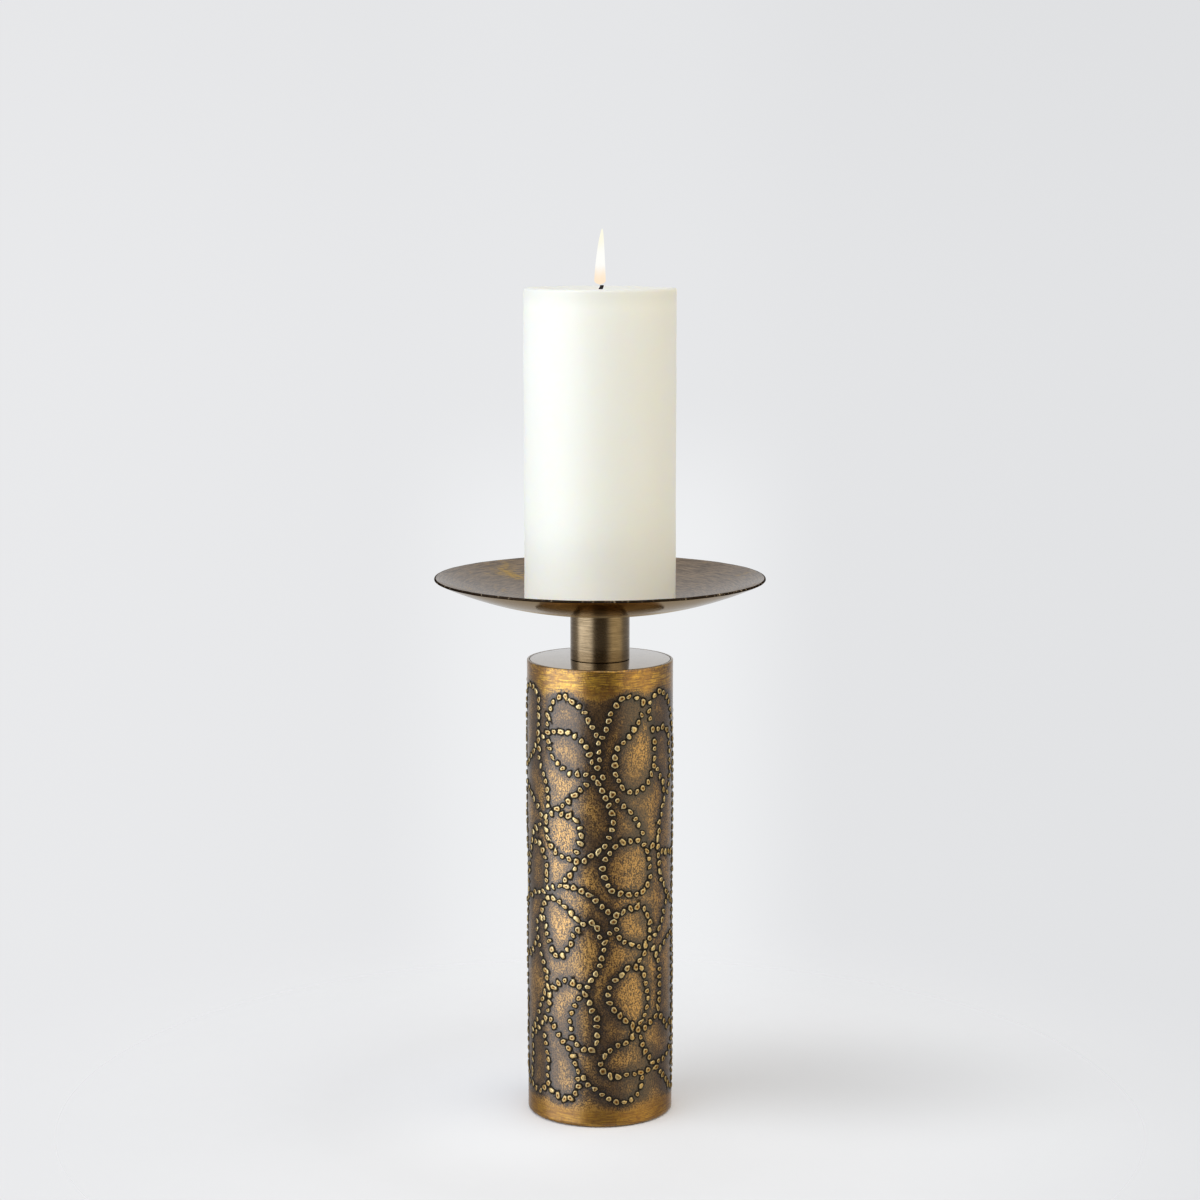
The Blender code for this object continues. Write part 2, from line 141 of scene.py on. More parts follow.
# Each route is a line of marks that the maker punched freehand: (degrees round from the front, height).
ROUTES = [
    [(-1.9, 185.4), (-0.5, 190.8), (-0.9, 196.9), (-3.2, 203.2), (-7, 208), (-13, 214), (-19.1, 217.9),
     (-27, 220.6), (-33, 220), (-38.5, 217.5), (-42, 212.5), (-44.8, 207), (-44, 201.5)],
    [(-44, 201.5), (-35.2, 202.4), (-27.4, 202.9), (-20, 201.2), (-13, 198), (-8.6, 193.8), (-7, 189),
     (-1.9, 185.4)],
    [(-44, 201.5), (-42.7, 194.8), (-40.8, 190.4), (-36.4, 186.9), (-29, 183.6), (-21.4, 181.8),
     (-14.3, 181.9), (-6.2, 180.8), (1.8, 180.8)],
    [(-0.9, 196.9), (1.1, 200), (4.5, 205), (7.7, 212), (11.5, 216.2), (17, 220), (23.3, 220.8),
     (29.2, 219.9), (35.9, 216.9), (41.7, 216.7)],
    [(41.7, 216.7), (48.1, 220.5), (54, 221.5), (60, 219.5), (66, 216.5), (71, 211), (75, 204), (79, 196),
     (81.5, 186), (81.5, 170), (81, 150), (80, 130), (79, 112), (80, 95), (79, 80), (80, 65), (79, 50),
     (78, 37), (80, 25), (80, 12.5)],
    [(44.7, 202.9), (50.1, 202.5), (57.6, 202.9), (64, 201.5), (68, 196.5), (70, 188), (71, 180),
     (69.5, 173), (65, 168.5), (60, 166)],
    [(41.7, 216.7), (40.7, 211.7), (43.3, 207.2), (46, 200.5), (47.1, 193), (47.1, 186.1), (42.5, 179),
     (36, 174.2), (30, 172.3), (23, 172.7), (17.1, 176.6), (11.5, 182), (11.2, 187), (12.5, 192.5),
     (17.5, 197.7), (25.2, 202.9), (29.5, 206.2), (34, 210.9)],
    [(-1.9, 185.4), (1.8, 180.8), (-0.9, 176.6), (3.1, 172.2), (5.4, 168), (7.9, 163.4), (9.5, 158.6),
     (9.1, 153.5), (6.6, 149.7), (3.8, 145.8), (-1.4, 143), (-7.6, 140.3), (-12.6, 138), (-18.3, 137.2)],
    [(-6.2, 180.8), (-12.1, 176.4), (-18, 172.2), (-26, 167.7), (-32, 164.3), (-38.2, 161.9),
     (-44.5, 158.8), (-50.7, 158.4), (-57.3, 162.2), (-62.5, 165), (-69.6, 168.5), (-80, 172)],
    [(-55.8, 216.9), (-55.2, 211.6), (-56.2, 203.5), (-55.6, 194), (-54.2, 186), (-49.5, 180), (-45.5, 174),
     (-44.3, 166.8), (-45.6, 161), (-46.8, 154), (-46, 149.5), (-42.5, 145), (-38.2, 142), (-32.5, 139.5),
     (-25, 138.6), (-18.3, 137.2)],
    [(-55.8, 216.9), (-59.8, 221.4), (-66, 223), (-73, 222.8), (-80, 220), (-85, 213), (-87, 200),
     (-87, 185), (-86, 170), (-86, 155), (-84, 148), (-80, 135), (-76, 118), (-80, 108), (-84, 95),
     (-85, 82), (-83, 68), (-80, 55), (-82, 40), (-80, 25), (-76, 16)],
    [(-44, 201.5), (-51.2, 197.6), (-55.8, 195.9), (-60.9, 193.2), (-64.6, 189.6), (-70, 186),
     (-78, 182.5), (-86, 180)],
    [(-38.2, 161.9), (-30.7, 161.2), (-23.4, 160), (-17.5, 157.7), (-14.8, 153.5), (-15.1, 148.6),
     (-16.9, 144.6), (-18.5, 141.3), (-18.3, 137.2), (-19.9, 133.4), (-23.9, 129.8), (-28.2, 127),
     (-33.9, 123.8), (-40.5, 122.3), (-48, 121.6), (-51.8, 118.1), (-57.3, 118.4), (-64, 117), (-74, 113),
     (-86, 110)],
    [(7.4, 142), (12.3, 145.5), (18, 147.2), (25.4, 147.8), (33, 147), (38, 143.5), (41.2, 137.5),
     (42.3, 132.9), (42, 128.2), (39.7, 123.8), (33.7, 120.4), (26.7, 120.2), (19.8, 121), (10.9, 121.7),
     (8, 124.2), (4.5, 127), (3.4, 129.9), (2.1, 134.3), (3.6, 138.3), (7.4, 142)],
    [(9.1, 171.7), (14.9, 168), (20.6, 164.5), (26.3, 160.7), (30.5, 156.7), (34.5, 151.4), (36.9, 147)],
    [(47.1, 186.1), (50.6, 181.5), (55.1, 177.1), (58.1, 173.4), (60.2, 167.5), (57.8, 163.3),
     (55.7, 159.1), (53.3, 155.1), (52.9, 150.7), (50.4, 146.2), (44.2, 143.4), (38.8, 142)],
    [(50.4, 146.2), (51.9, 140.5), (52.9, 135), (53.6, 130), (56, 125), (61, 120.5), (66, 116), (72, 112),
     (79, 110)],
    [(51.7, 141.3), (56.5, 139.1), (64, 137.8), (72, 137), (80, 136)],
    [(-33.9, 123.8), (-23.9, 124.2), (-17.3, 123.1), (-9.6, 121), (-3.3, 117.7), (2.9, 114), (8.3, 110.8),
     (14.7, 110.3), (21.1, 112.4), (26.2, 113.1), (32.7, 112.6), (38.8, 111.3), (40.9, 106.3),
     (42.6, 102.8), (42.3, 98.8), (40.9, 94.1), (35.3, 92.6), (28.1, 93.9), (23.6, 94.6), (15.8, 97.2),
     (13.6, 102.5), (10.4, 106.3), (8.3, 110.8)],
    [(9.1, 105.5), (8, 101.3), (0.2, 99.3)],
    [(42.3, 98.8), (47.4, 97), (53.6, 100), (57.3, 103.6), (60.2, 107.7), (63, 112), (66, 116)],
    [(-51.8, 109.4), (-49.1, 113.1), (-46.2, 116.1), (-42.7, 117.6), (-36.8, 116.9), (-31, 115),
     (-27.3, 113.4), (-20.5, 109.7), (-13.7, 105.7), (-7, 106.4), (-1.7, 103.9), (0.2, 99.3), (4.5, 96),
     (2.1, 90.9), (0.5, 86.4), (-1.9, 82.1), (-5.5, 78), (-8.9, 73.5), (-15.9, 73.1), (-22.5, 74.9),
     (-27.9, 75.6), (-34.1, 73.5), (-38, 71), (-45.7, 70.3), (-48.8, 67.1), (-52, 62.2), (-55, 58.5),
     (-57.5, 54), (-62, 48.5), (-67.5, 44.5), (-67.5, 40), (-66, 34.3), (-67.5, 27), (-68.5, 21),
     (-67, 16), (-60, 14.6), (-54.4, 14.4)],
    [(-13.7, 105.7), (-17.5, 102.8), (-20.1, 99.9), (-22.6, 96.4), (-24.1, 93.4), (-27.3, 90.8),
     (-31.2, 88.3), (-36.8, 87.8), (-41.9, 90.9), (-43.4, 95), (-46.6, 99.9), (-47.3, 104.1),
     (-51.8, 109.4)],
    [(-51.8, 109.4), (-53.1, 105.5), (-58.2, 103), (-58.4, 98), (-58.2, 94.5), (-55, 91.5), (-52.6, 87.1),
     (-51.2, 84.1), (-47.7, 78.9), (-45.7, 74.5), (-45.7, 70.3), (-43.4, 65.8), (-43.2, 60.9),
     (-45.7, 57), (-48.2, 54.5), (-50.9, 51.6), (-55, 48.6), (-60, 45), (-67.5, 44.5)],
    [(-55, 92), (-62, 90.9), (-66.2, 87.1), (-74, 84), (-85, 82)],
    [(-47.5, 153.7), (-56.6, 153.1), (-60.9, 151.2), (-64.6, 147.9), (-66.8, 143), (-70, 138.5),
     (-73, 132), (-74, 125), (-76, 118)],
    [(-48, 121.6), (-46, 127), (-46.2, 133.6), (-47.5, 137.2), (-51.8, 141.6), (-57.1, 144.4),
     (-66.8, 143)],
    [(35.3, 92.6), (37, 89), (32.4, 86.7), (28.6, 82.4), (20.6, 82.1), (16.1, 78.9), (10.7, 76.3),
     (7.4, 73.3), (5.9, 68.9), (7.2, 64.5), (11.3, 60.8), (16.3, 57.2), (21.7, 54.2), (27.3, 51.6),
     (32.4, 47.9), (33.7, 44.1), (36.7, 40.2), (39.3, 36.7), (42.6, 33.2), (45.8, 30.8), (52.2, 30.8),
     (59.7, 31.1), (68, 33), (77, 37)],
    [(28.6, 82.2), (34.5, 81.5), (37.2, 77.2), (38.6, 74), (38.8, 70.3), (40.2, 66.8), (40.4, 63),
     (39.3, 58.8), (37.2, 56.3), (33.8, 53.7), (27.3, 51.6)],
    [(41.5, 93.5), (44.5, 91), (48.5, 87.5), (52, 83.5), (53.8, 77.5), (54.3, 71.4), (53.6, 65),
     (52.2, 58.5), (48.5, 54.5), (43, 52.2), (38.5, 50), (32.4, 47.9)],
    [(48.5, 87.5), (57, 89.9), (64, 93), (72, 95), (80, 95)],
    [(49.5, 55.2), (55.4, 54.2), (60.2, 50.3), (66, 47), (72, 48), (79, 50)],
    [(-8.9, 73.5), (-11.9, 68.6), (-16.4, 67), (-19.4, 63.4), (-22.5, 58.5), (-23.6, 53.7), (-22.5, 48.8),
     (-20.7, 44.6), (-15.6, 41.8), (-9.2, 39.7), (-3.5, 42.9), (-2.8, 46.7), (-1.9, 51.6), (-1.9, 56.6),
     (-5.7, 61), (-7.6, 64.4), (-11.9, 68.6)],
    [(32.4, 47.9), (25.9, 45.8), (19.2, 43.4), (10.9, 42), (4.8, 38.3), (0.2, 33.2), (1.3, 29.5),
     (7.2, 27.3), (14.1, 26.4), (23, 27), (29.7, 26.7), (38.3, 27.3), (44.2, 29), (45.8, 30.8)],
    [(-45.7, 57), (-41.3, 53), (-36, 48.6), (-31.4, 45.1), (-26.4, 41.1), (-22.5, 37.3), (-19.6, 33.4),
     (-18, 29.5), (-14.8, 27), (-9.2, 22.4), (-2.5, 19.5), (3.8, 16.7), (10.1, 13.9), (16.6, 12.6),
     (23.6, 13.7), (29.7, 16), (33.8, 19.8), (34.5, 24), (29.7, 26.7)],
    [(-55.5, 45.5), (-48.6, 43.7), (-47.5, 39.2), (-45.6, 35), (-44.3, 31.5), (-45, 27.7), (-45.6, 23.5),
     (-44.5, 19.6), (-40.5, 16.7), (-33.8, 14.4), (-26.8, 13.3), (-21.4, 15.9), (-17.3, 19.5),
     (-16.4, 23.6), (-18, 29.5)],
    [(-44.5, 19.6), (-49.6, 16.8), (-54.4, 14.4)],
    [(45.8, 30.8), (53, 26), (60, 21.5), (66, 17.5), (73, 14), (80, 12.5)],
]


# ---------------------------------------------------------------- mesh tools


def new_piece(name, points, faces, material, body, slot, *nodes, crease=40):
    """A smooth-shaded piece from points in mm, which rides on a body and stands for these CAD nodes."""
    mesh = bpy.data.meshes.new(name)
    mesh.from_pydata((np.asarray(points, float) * MM).tolist(), [], faces)
    mesh.materials.append(material)
    mesh.shade_smooth()
    mesh.set_sharp_from_angle(angle=math.radians(crease))
    piece = bpy.data.objects.new(name, mesh)
    bpy.context.scene.collection.objects.link(piece)
    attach(piece, body)
    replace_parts(piece, *nodes)
    return piece


def rounded(corners, steps=6):
    """A profile through (radius, height, rounding) corners, each corner replaced by a small curve."""
    points = []
    for index, (r, z, ease) in enumerate(corners):
        here = np.array((r, z), float)
        if ease == 0 or index in (0, len(corners) - 1):
            points.append(here)
            continue
        before = np.array(corners[index - 1][:2], float) - here
        after = np.array(corners[index + 1][:2], float) - here
        start = here + before * min(0.5, ease / np.linalg.norm(before))
        end = here + after * min(0.5, ease / np.linalg.norm(after))
        for t in np.linspace(0, 1, steps):
            points.append((1 - t) ** 2 * start + 2 * t * (1 - t) * here + t**2 * end)
    return points


def turned(profile, steps=192, closed=False):
    """Points and faces of a profile turned about Z.

    The profile runs down the outer side. An open one starts and ends on the axis; a closed one is a ring.
    """
    points, rings = [], []
    for r, z in profile:
        if r < 1e-6:
            rings.append([len(points)] * steps)
            points.append((0.0, 0.0, z))
            continue
        rings.append(list(range(len(points), len(points) + steps)))
        for angle in np.linspace(0, FULL_TURN, steps, endpoint=False):
            points.append((r * math.cos(angle), r * math.sin(angle), z))
    faces = []
    pairs = list(zip(rings, rings[1:]))
    if closed:
        pairs.append((rings[-1], rings[0]))
    for upper, lower in pairs:
        for i in range(steps):
            j = (i + 1) % steps
            corners = [upper[i], lower[i], lower[j], upper[j]]
            faces.append(tuple(dict.fromkeys(corners)))
    return np.array(points), faces


def ripple(angle, seed, waves, size):
    """A smooth wave round a turned piece, the same each run."""
    draw = random.Random(seed)
    total = np.zeros_like(angle)
    for count in waves:
        total += draw.uniform(0.5, 1.0) * np.sin(count * angle + draw.uniform(0, FULL_TURN))
    return size * total / len(waves)


# ---------------------------------------------------------------- shader tools


class Nodes:
    """A node tree, built up in words. Lengths are in mm of the piece's own space."""

    def __init__(self, tree):
        self.tree = tree

    def add(self, kind, inputs=None, **settings):
        """A new node with these settings and inputs, each input a value or another node's output."""
        node = self.tree.nodes.new("ShaderNode" + kind)
        for key, value in settings.items():
            setattr(node, key, value)
        for key, value in (inputs or {}).items():
            self.feed(node, key, value)
        return node

    def feed(self, node, key, value):
        """Sets one input, or links it."""
        socket = node.inputs[key]
        if isinstance(value, bpy.types.NodeSocket):
            self.tree.links.new(value, socket)
        elif socket.type == "RGBA":
            socket.default_value = (*value[:3], 1.0)
        else:
            socket.default_value = value

    def place(self, stretch=(1.0, 1.0, 1.0)):
        """The point being shaded, in mm, each axis multiplied by its stretch."""
        where = self.add("TexCoord").outputs["Object"]
        scale = tuple(s / MM for s in stretch)
        return self.add("Mapping", {"Vector": where, "Scale": scale}).outputs[0]

    def sum(self, *values):
        """The values added up."""
        total = values[0]
        for value in values[1:]:
            total = self.math("ADD", total, value)
        return total

    def product(self, *values):
        """The values multiplied together."""
        total = values[0]
        for value in values[1:]:
            total = self.math("MULTIPLY", total, value)
        return total

    def math(self, operation, first, second=None, clamp=False):
        """One math node."""
        inputs = {0: first}
        if second is not None:
            inputs[1] = second
        return self.add("Math", inputs, operation=operation, use_clamp=clamp).outputs[0]

    def fade(self, value, low, high, start=0.0, end=1.0):
        """From start to end, smoothly, as the value goes from low to high."""
        inputs = {"Value": value, "From Min": low, "From Max": high, "To Min": start, "To Max": end}
        return self.add("MapRange", inputs, interpolation_type="SMOOTHSTEP").outputs[0]

    def noise(self, where, scale, detail=3.0, roughness=0.55, distortion=0.0):
        """Noise from 0 to 1, its main features 1 / scale mm across."""
        inputs = {"Vector": where, "Scale": scale, "Detail": detail, "Roughness": roughness,
                  "Distortion": distortion}
        return self.add("TexNoise", inputs).outputs["Fac"]

    def mix(self, factor, first, second):
        """Two colours mixed: the first where the factor is 0, the second where it is 1."""
        node = self.add("Mix", data_type="RGBA")
        for key, value in ((0, factor), (6, first), (7, second)):
            self.feed(node, key, value)
        return node.outputs[2]

    def attribute(self, name):
        """A number kept on the mesh's points."""
        return self.add("Attribute", attribute_name=name).outputs["Fac"]

    def axes(self):
        """The point's places to the right, to the back and upward, in mm."""
        return self.add("SeparateXYZ", {0: self.place()}).outputs

    def facing_up(self):
        """1 where the piece's surface faces straight up, -1 where it faces straight down."""
        return self.add("SeparateXYZ", {0: self.add("TexCoord").outputs["Normal"]}).outputs[2]

    def distance(self, where, stop):
        """How far a place is from a fixed stop."""
        return self.add("VectorMath", {0: where, 1: stop}, operation="DISTANCE").outputs["Value"]

    def radius(self):
        """Distance from the piece's axis, and the point's height, in mm."""
        x, y, z = self.axes()
        return self.math("SQRT", self.sum(self.product(x, x), self.product(y, y))), z

    def polar(self, around, outward, upward):
        """Coordinates that follow a turned piece, without a seam: for marks left by spinning."""
        x, y, _ = self.axes()
        distance, height = self.radius()
        safe = self.math("MAXIMUM", distance, 0.01)
        across = [self.product(self.math("DIVIDE", side, safe), around) for side in (x, y)]
        along = self.sum(self.product(distance, outward), self.product(height, upward))
        return self.add("CombineXYZ", {0: across[0], 1: across[1], 2: along}).outputs[0]

    def bump(self, height, depth, under=None):
        """A normal from a height of 0 to 1 that stands for this depth in mm."""
        inputs = {"Height": height, "Distance": depth * MM, "Strength": 1.0}
        if under is not None:
            inputs["Normal"] = under
        return self.add("Bump", inputs).outputs[0]


def finish_of(name, **fixed):
    """A new material: its name, the shader's plain settings, and what builds the rest of it."""
    material = bpy.data.materials.new(name)
    material.use_nodes = True
    nodes = Nodes(material.node_tree)
    surface = material.node_tree.nodes["Principled BSDF"]
    for key, value in fixed.items():
        nodes.feed(surface, key.replace("_", " "), value)
    return material, nodes, surface


def grey(level):
    """A grey, as a colour."""
    return (level, level, level)


# ---------------------------------------------------------------- materials


class BrassPatterns:
    """The noises and masks that the sleeve's colour, polish and relief share, most of them from 0 to 1."""

    def __init__(self, n):
        self.height = n.axes()[2]
        self.grain = n.noise(n.place((1.0, 1.0, 0.8)), 1.5, 2.0, 0.6)
        self.speckle = n.noise(n.place((1.0, 1.0, 0.7)), 0.8, 4.0, 0.65)
        self.mottle = n.noise(n.place(), 0.20, 4.0, 0.6, 0.4)
        self.cloud = n.noise(n.place((1.0, 1.0, 0.6)), 0.05, 3.0, 0.5)
        self.weave = n.noise(n.polar(36.0, 0.0, 0.5), 1.0, 3.0, 0.6)
        self.brushed = n.noise(n.polar(5.0, 0.0, 2.2), 1.0, 3.0, 0.6)
        self.streaks = n.noise(n.place((1.0, 1.0, 0.22)), 1.6, 2.0, 0.6)
        self.line = n.attribute("line_mm")
        self.pad = n.fade(n.attribute("pad"), 0.35, 0.75)
        self.pit = n.attribute("pit")
        self.ring = n.attribute("ring")
        over_foot = n.fade(self.height, *FOOT_BAND_FADE)
        self.inside = n.product(over_foot, n.fade(self.height, *TOP_BAND_FADE, 1.0, 0.0))
        self.end = n.product(n.fade(n.facing_up(), 0.4, 0.9), n.fade(self.height, *END_FACE_FADE))
        self.patina = self.patina_spread(n)

    def patina_spread(self, n):
        """The dark patina: along the punched lines, wider near the ornament's ends, and in clouds."""
        ragged = n.sum(self.line, n.fade(self.mottle, 0.25, 0.75, -1.8, 1.8),
                       n.fade(self.grain, 0.30, 0.70, -1.3, 1.3))
        ends = n.sum(n.fade(self.height, 186.0, 210.0, 0.0, 2.4), n.fade(self.height, 14.0, 48.0, 1.7, 0.0))
        heavier = n.sum(ends, n.fade(self.cloud, 0.36, 0.64, -1.4, 1.8))
        lighter_bands = n.fade(self.inside, 0.0, 1.0, 2.6, 0.0)
        spread = n.product(heavier, n.fade(self.inside, 0.0, 1.0, 0.0, -1.0))
        return n.fade(n.sum(ragged, lighter_bands, spread), 1.8, 8.4, 1.0, 0.0)


def band_gold(n, brass):
    """The plain bands at the sleeve's ends: brushed gold with specks, darker and more specked at the very
    edges.
    """
    gold = n.mix(n.fade(brass.mottle, 0.40, 0.62), (0.80, 0.44, 0.042), (0.45, 0.205, 0.016))
    gold = n.mix(n.fade(brass.height, 8.0, 26.0, 0.65, 0.0), gold, (0.32, 0.145, 0.014))
    gold = n.mix(n.fade(brass.brushed, 0.44, 0.56, 0.0, 0.85), gold, (0.23, 0.10, 0.010))
    gold = n.mix(n.fade(brass.speckle, 0.56, 0.74, 0.0, 0.5), gold, (0.15, 0.065, 0.012))
    # darker, with more specks, over the top and bottom 5 mm of the sleeve
    grime = n.sum(n.fade(brass.height, SLEEVE_TOP - 5.0, SLEEVE_TOP, 0.0, 0.16),
                  n.fade(brass.height, 0.0, 5.0, 0.12, 0.0))
    return n.mix(n.fade(n.sum(brass.speckle, grime), 0.60, 0.78, 0.0, 0.6), gold, (0.10, 0.045, 0.010))


def burnished_cell(n, brass):
    """The metal between the lines: gold through dark flecks, duller in clouds."""
    fur = n.sum(n.product(brass.grain, 0.50), n.product(brass.streaks, 0.28), n.product(brass.speckle, 0.22))
    flecks = n.mix(n.fade(brass.height, 70.0, 150.0), (0.105, 0.054, 0.015), (0.050, 0.024, 0.006))
    cell = n.mix(n.fade(fur, 0.43, 0.57), flecks, (0.72, 0.395, 0.095))
    return n.mix(n.fade(brass.cloud, 0.35, 0.65, 0.0, 0.45), cell, (0.20, 0.105, 0.028))


def brass_colour(n, brass):
    """The sleeve's colour: bands and cells, patina over them, then the bright marks in their dark rings of
    patina and painted shade.
    """
    plain = n.mix(brass.inside, band_gold(n, brass), burnished_cell(n, brass))
    dark = n.mix(n.fade(brass.grain, 0.33, 0.68), (0.050, 0.026, 0.009), (0.155, 0.084, 0.030))
    metal = n.mix(brass.patina, plain, dark)
    beside = n.sum(brass.line, n.fade(brass.grain, 0.3, 0.7, -0.7, 0.7))
    metal = n.mix(n.fade(beside, 1.3, 3.9, 0.80, 0.0), metal, (0.020, 0.012, 0.007))
    bright = n.mix(n.fade(brass.speckle, 0.4, 0.7), (1.0, 0.82, 0.43), (0.76, 0.49, 0.16))
    bright = n.mix(n.fade(brass.height, 20.0, 130.0, 0.40, 0.0), bright, (0.42, 0.25, 0.075))
    metal = n.mix(brass.pad, metal, bright)
    metal = n.mix(brass.pit, metal, (0.17, 0.062, 0.009))
    # near-black rings: partly dark patina in the groove round each mark, partly painted shade there and on
    # the marks' side walls
    metal = n.mix(brass.ring, metal, (0.007, 0.005, 0.004))
    return n.mix(brass.end, metal, (0.20, 0.15, 0.09))


def brass_roughness(n, brass):
    """Glossy bands and marks, satin cells and patina, and a polished end face."""
    rough = n.mix(brass.patina, n.mix(brass.inside, grey(0.33), grey(0.50)), grey(0.48))
    rough = n.mix(n.fade(brass.height, 8.0, 30.0, 0.25, 0.0), rough, grey(0.72))
    rough = n.mix(brass.pad, rough, grey(0.31))
    rough = n.mix(brass.ring, rough, grey(0.85))
    rough = n.mix(brass.end, rough, grey(0.14))
    wear = n.fade(brass.grain, 0.3, 0.7, 0.06, -0.06)
    return n.math("ADD", rough, wear, clamp=True)


def brass_lacquer(n, brass):
    """How much lacquer is left: hardly any on the marks, and less toward the foot."""
    between = n.fade(n.math("MAXIMUM", brass.ring, brass.pad), 0.0, 0.9, 1.0, 0.06)
    kept = n.math("MAXIMUM", brass.inside, n.fade(brass.height, 60.0, 200.0, 0.7, 1.0))
    return n.product(between, kept, n.fade(brass.height, 30.0, 130.0, 0.8, 1.0))


def punched_brass():
    """Brass sheet, burnished between dark patina bands that follow the punched lines, with bright marks."""
    material, n, surface = finish_of("punched_brass", Coat_Roughness=0.22, Coat_IOR=1.70)
    brass = BrassPatterns(n)
    n.feed(surface, "Base Color", brass_colour(n, brass))
    n.feed(surface, "Roughness", brass_roughness(n, brass))
    n.feed(surface, "Metallic", n.fade(brass.ring, 0.2, 0.9, 1.0, 0.2))
    n.feed(surface, "Coat Weight", brass_lacquer(n, brass))
    n.feed(surface, "Specular Tint", n.mix(brass.pad, (0.62, 0.50, 0.36), (0.06, 0.04, 0.02)))
    relief = n.bump(brass.brushed, 0.03, n.bump(brass.weave, 0.02))
    relief = n.bump(brass.grain, 0.10, relief)
    n.feed(surface, "Normal", n.bump(brass.mottle, 0.12, relief))
    n.feed(surface, "Coat Normal", n.bump(brass.grain, 0.06))
    return material


def bronze(name, light, dark, rough, lathe, brush, coat=0.0):
    """Satin metal, darkened in places. lathe says how fine its marks are: around, outward and upward."""
    material, n, surface = finish_of(name, Metallic=1.0, Coat_Weight=coat, Coat_Roughness=0.08)
    lines = n.noise(n.polar(*lathe), 1.0, 4.0, 0.65)
    mottle = n.noise(n.place(), 0.12, 4.0, 0.6)
    tone = n.sum(n.product(lines, 0.75), n.product(mottle, 0.25))
    n.feed(surface, "Base Color", n.mix(n.fade(tone, 0.38, 0.62), dark, light))
    n.feed(surface, "Roughness", n.fade(tone, 0.3, 0.7, rough + 0.08, rough - 0.04))
    n.feed(surface, "Normal", n.bump(lines, brush))
    return material


def dish_inside(n, spun, mottle, inner):
    """The inside's grey-brown patina with golden blotches, and where those are."""
    rubbed = n.distance(n.place(), RUBBED_SPOT)
    blotch = n.sum(mottle, n.fade(spun, 0.2, 0.8, -0.12, 0.12), n.fade(rubbed, 4.0, 34.0, 0.20, 0.0))
    golden = n.product(n.fade(blotch, 0.58, 0.84), inner)
    patina = n.mix(n.fade(spun, 0.34, 0.66), (0.080, 0.049, 0.023), (0.30, 0.213, 0.128))
    return n.mix(golden, patina, (0.45, 0.285, 0.070)), golden


def dish_underneath(n, spun, distance):
    """The polished underside, paler near the axis."""
    below = n.mix(n.fade(spun, 0.3, 0.7), (0.34, 0.23, 0.115), (0.47, 0.345, 0.205))
    return n.mix(n.fade(distance, 50.0, 66.0, 1.0, 0.0), below, (0.92, 0.74, 0.44))


def dish_rim(n, mottle):
    """The dark rim, chipped bright in places."""
    chips = n.sum(n.noise(n.polar(90.0, 0.8, 0.8), 1.0, 3.0, 0.6), n.fade(mottle, 0.3, 0.7, -0.08, 0.06))
    return n.mix(n.fade(chips, 0.60, 0.68), (0.030, 0.020, 0.013), (0.50, 0.40, 0.28))


def dish_bronze():
    """Spun bronze: patina inside, polished below, a dark worn rim."""
    material, n, surface = finish_of("dish_bronze", Coat_Roughness=0.14)
    distance, _ = n.radius()
    spun = n.noise(n.polar(9.0, 1.6, 0.0), 1.0, 5.0, 0.7, 0.2)
    fine = n.noise(n.polar(30.0, 5.0, 0.0), 1.0, 3.0, 0.6)
    mottle = n.noise(n.place(), 0.055, 6.0, 0.7, 0.5)
    inner = n.fade(n.facing_up(), -0.2, 0.2)
    edge = n.fade(distance, DISH_RADIUS - 1.1, DISH_RADIUS - 0.5)
    patina, golden = dish_inside(n, spun, mottle, inner)
    metal = n.mix(inner, dish_underneath(n, spun, distance), patina)
    n.feed(surface, "Base Color", n.mix(edge, metal, dish_rim(n, mottle)))
    n.feed(surface, "Metallic", n.fade(golden, 0.0, 1.0, 1.0, 0.7))
    gloss = n.sum(n.fade(inner, 0.0, 1.0, 0.08, 0.42), n.product(golden, 0.10))
    gloss = n.sum(gloss, n.fade(spun, 0.2, 0.8, -0.03, 0.04), n.product(edge, 0.15))
    under = n.product(n.fade(distance, 48.0, 66.0, 0.26, 0.0), n.fade(inner, 0.0, 1.0, 1.0, 0.0))
    n.feed(surface, "Roughness", n.sum(gloss, under))
    coated = n.product(inner, n.fade(n.math("MAXIMUM", golden, edge), 0.0, 1.0, 0.55, 0.0))
    n.feed(surface, "Coat Weight", coated)
    tint = n.mix(inner, (0.66, 0.62, 0.56), (1.0, 1.0, 1.0))
    n.feed(surface, "Specular Tint", n.mix(edge, tint, (0.22, 0.17, 0.12)))
    n.feed(surface, "Normal", n.bump(fine, 0.008, n.bump(spun, 0.012)))
    return material


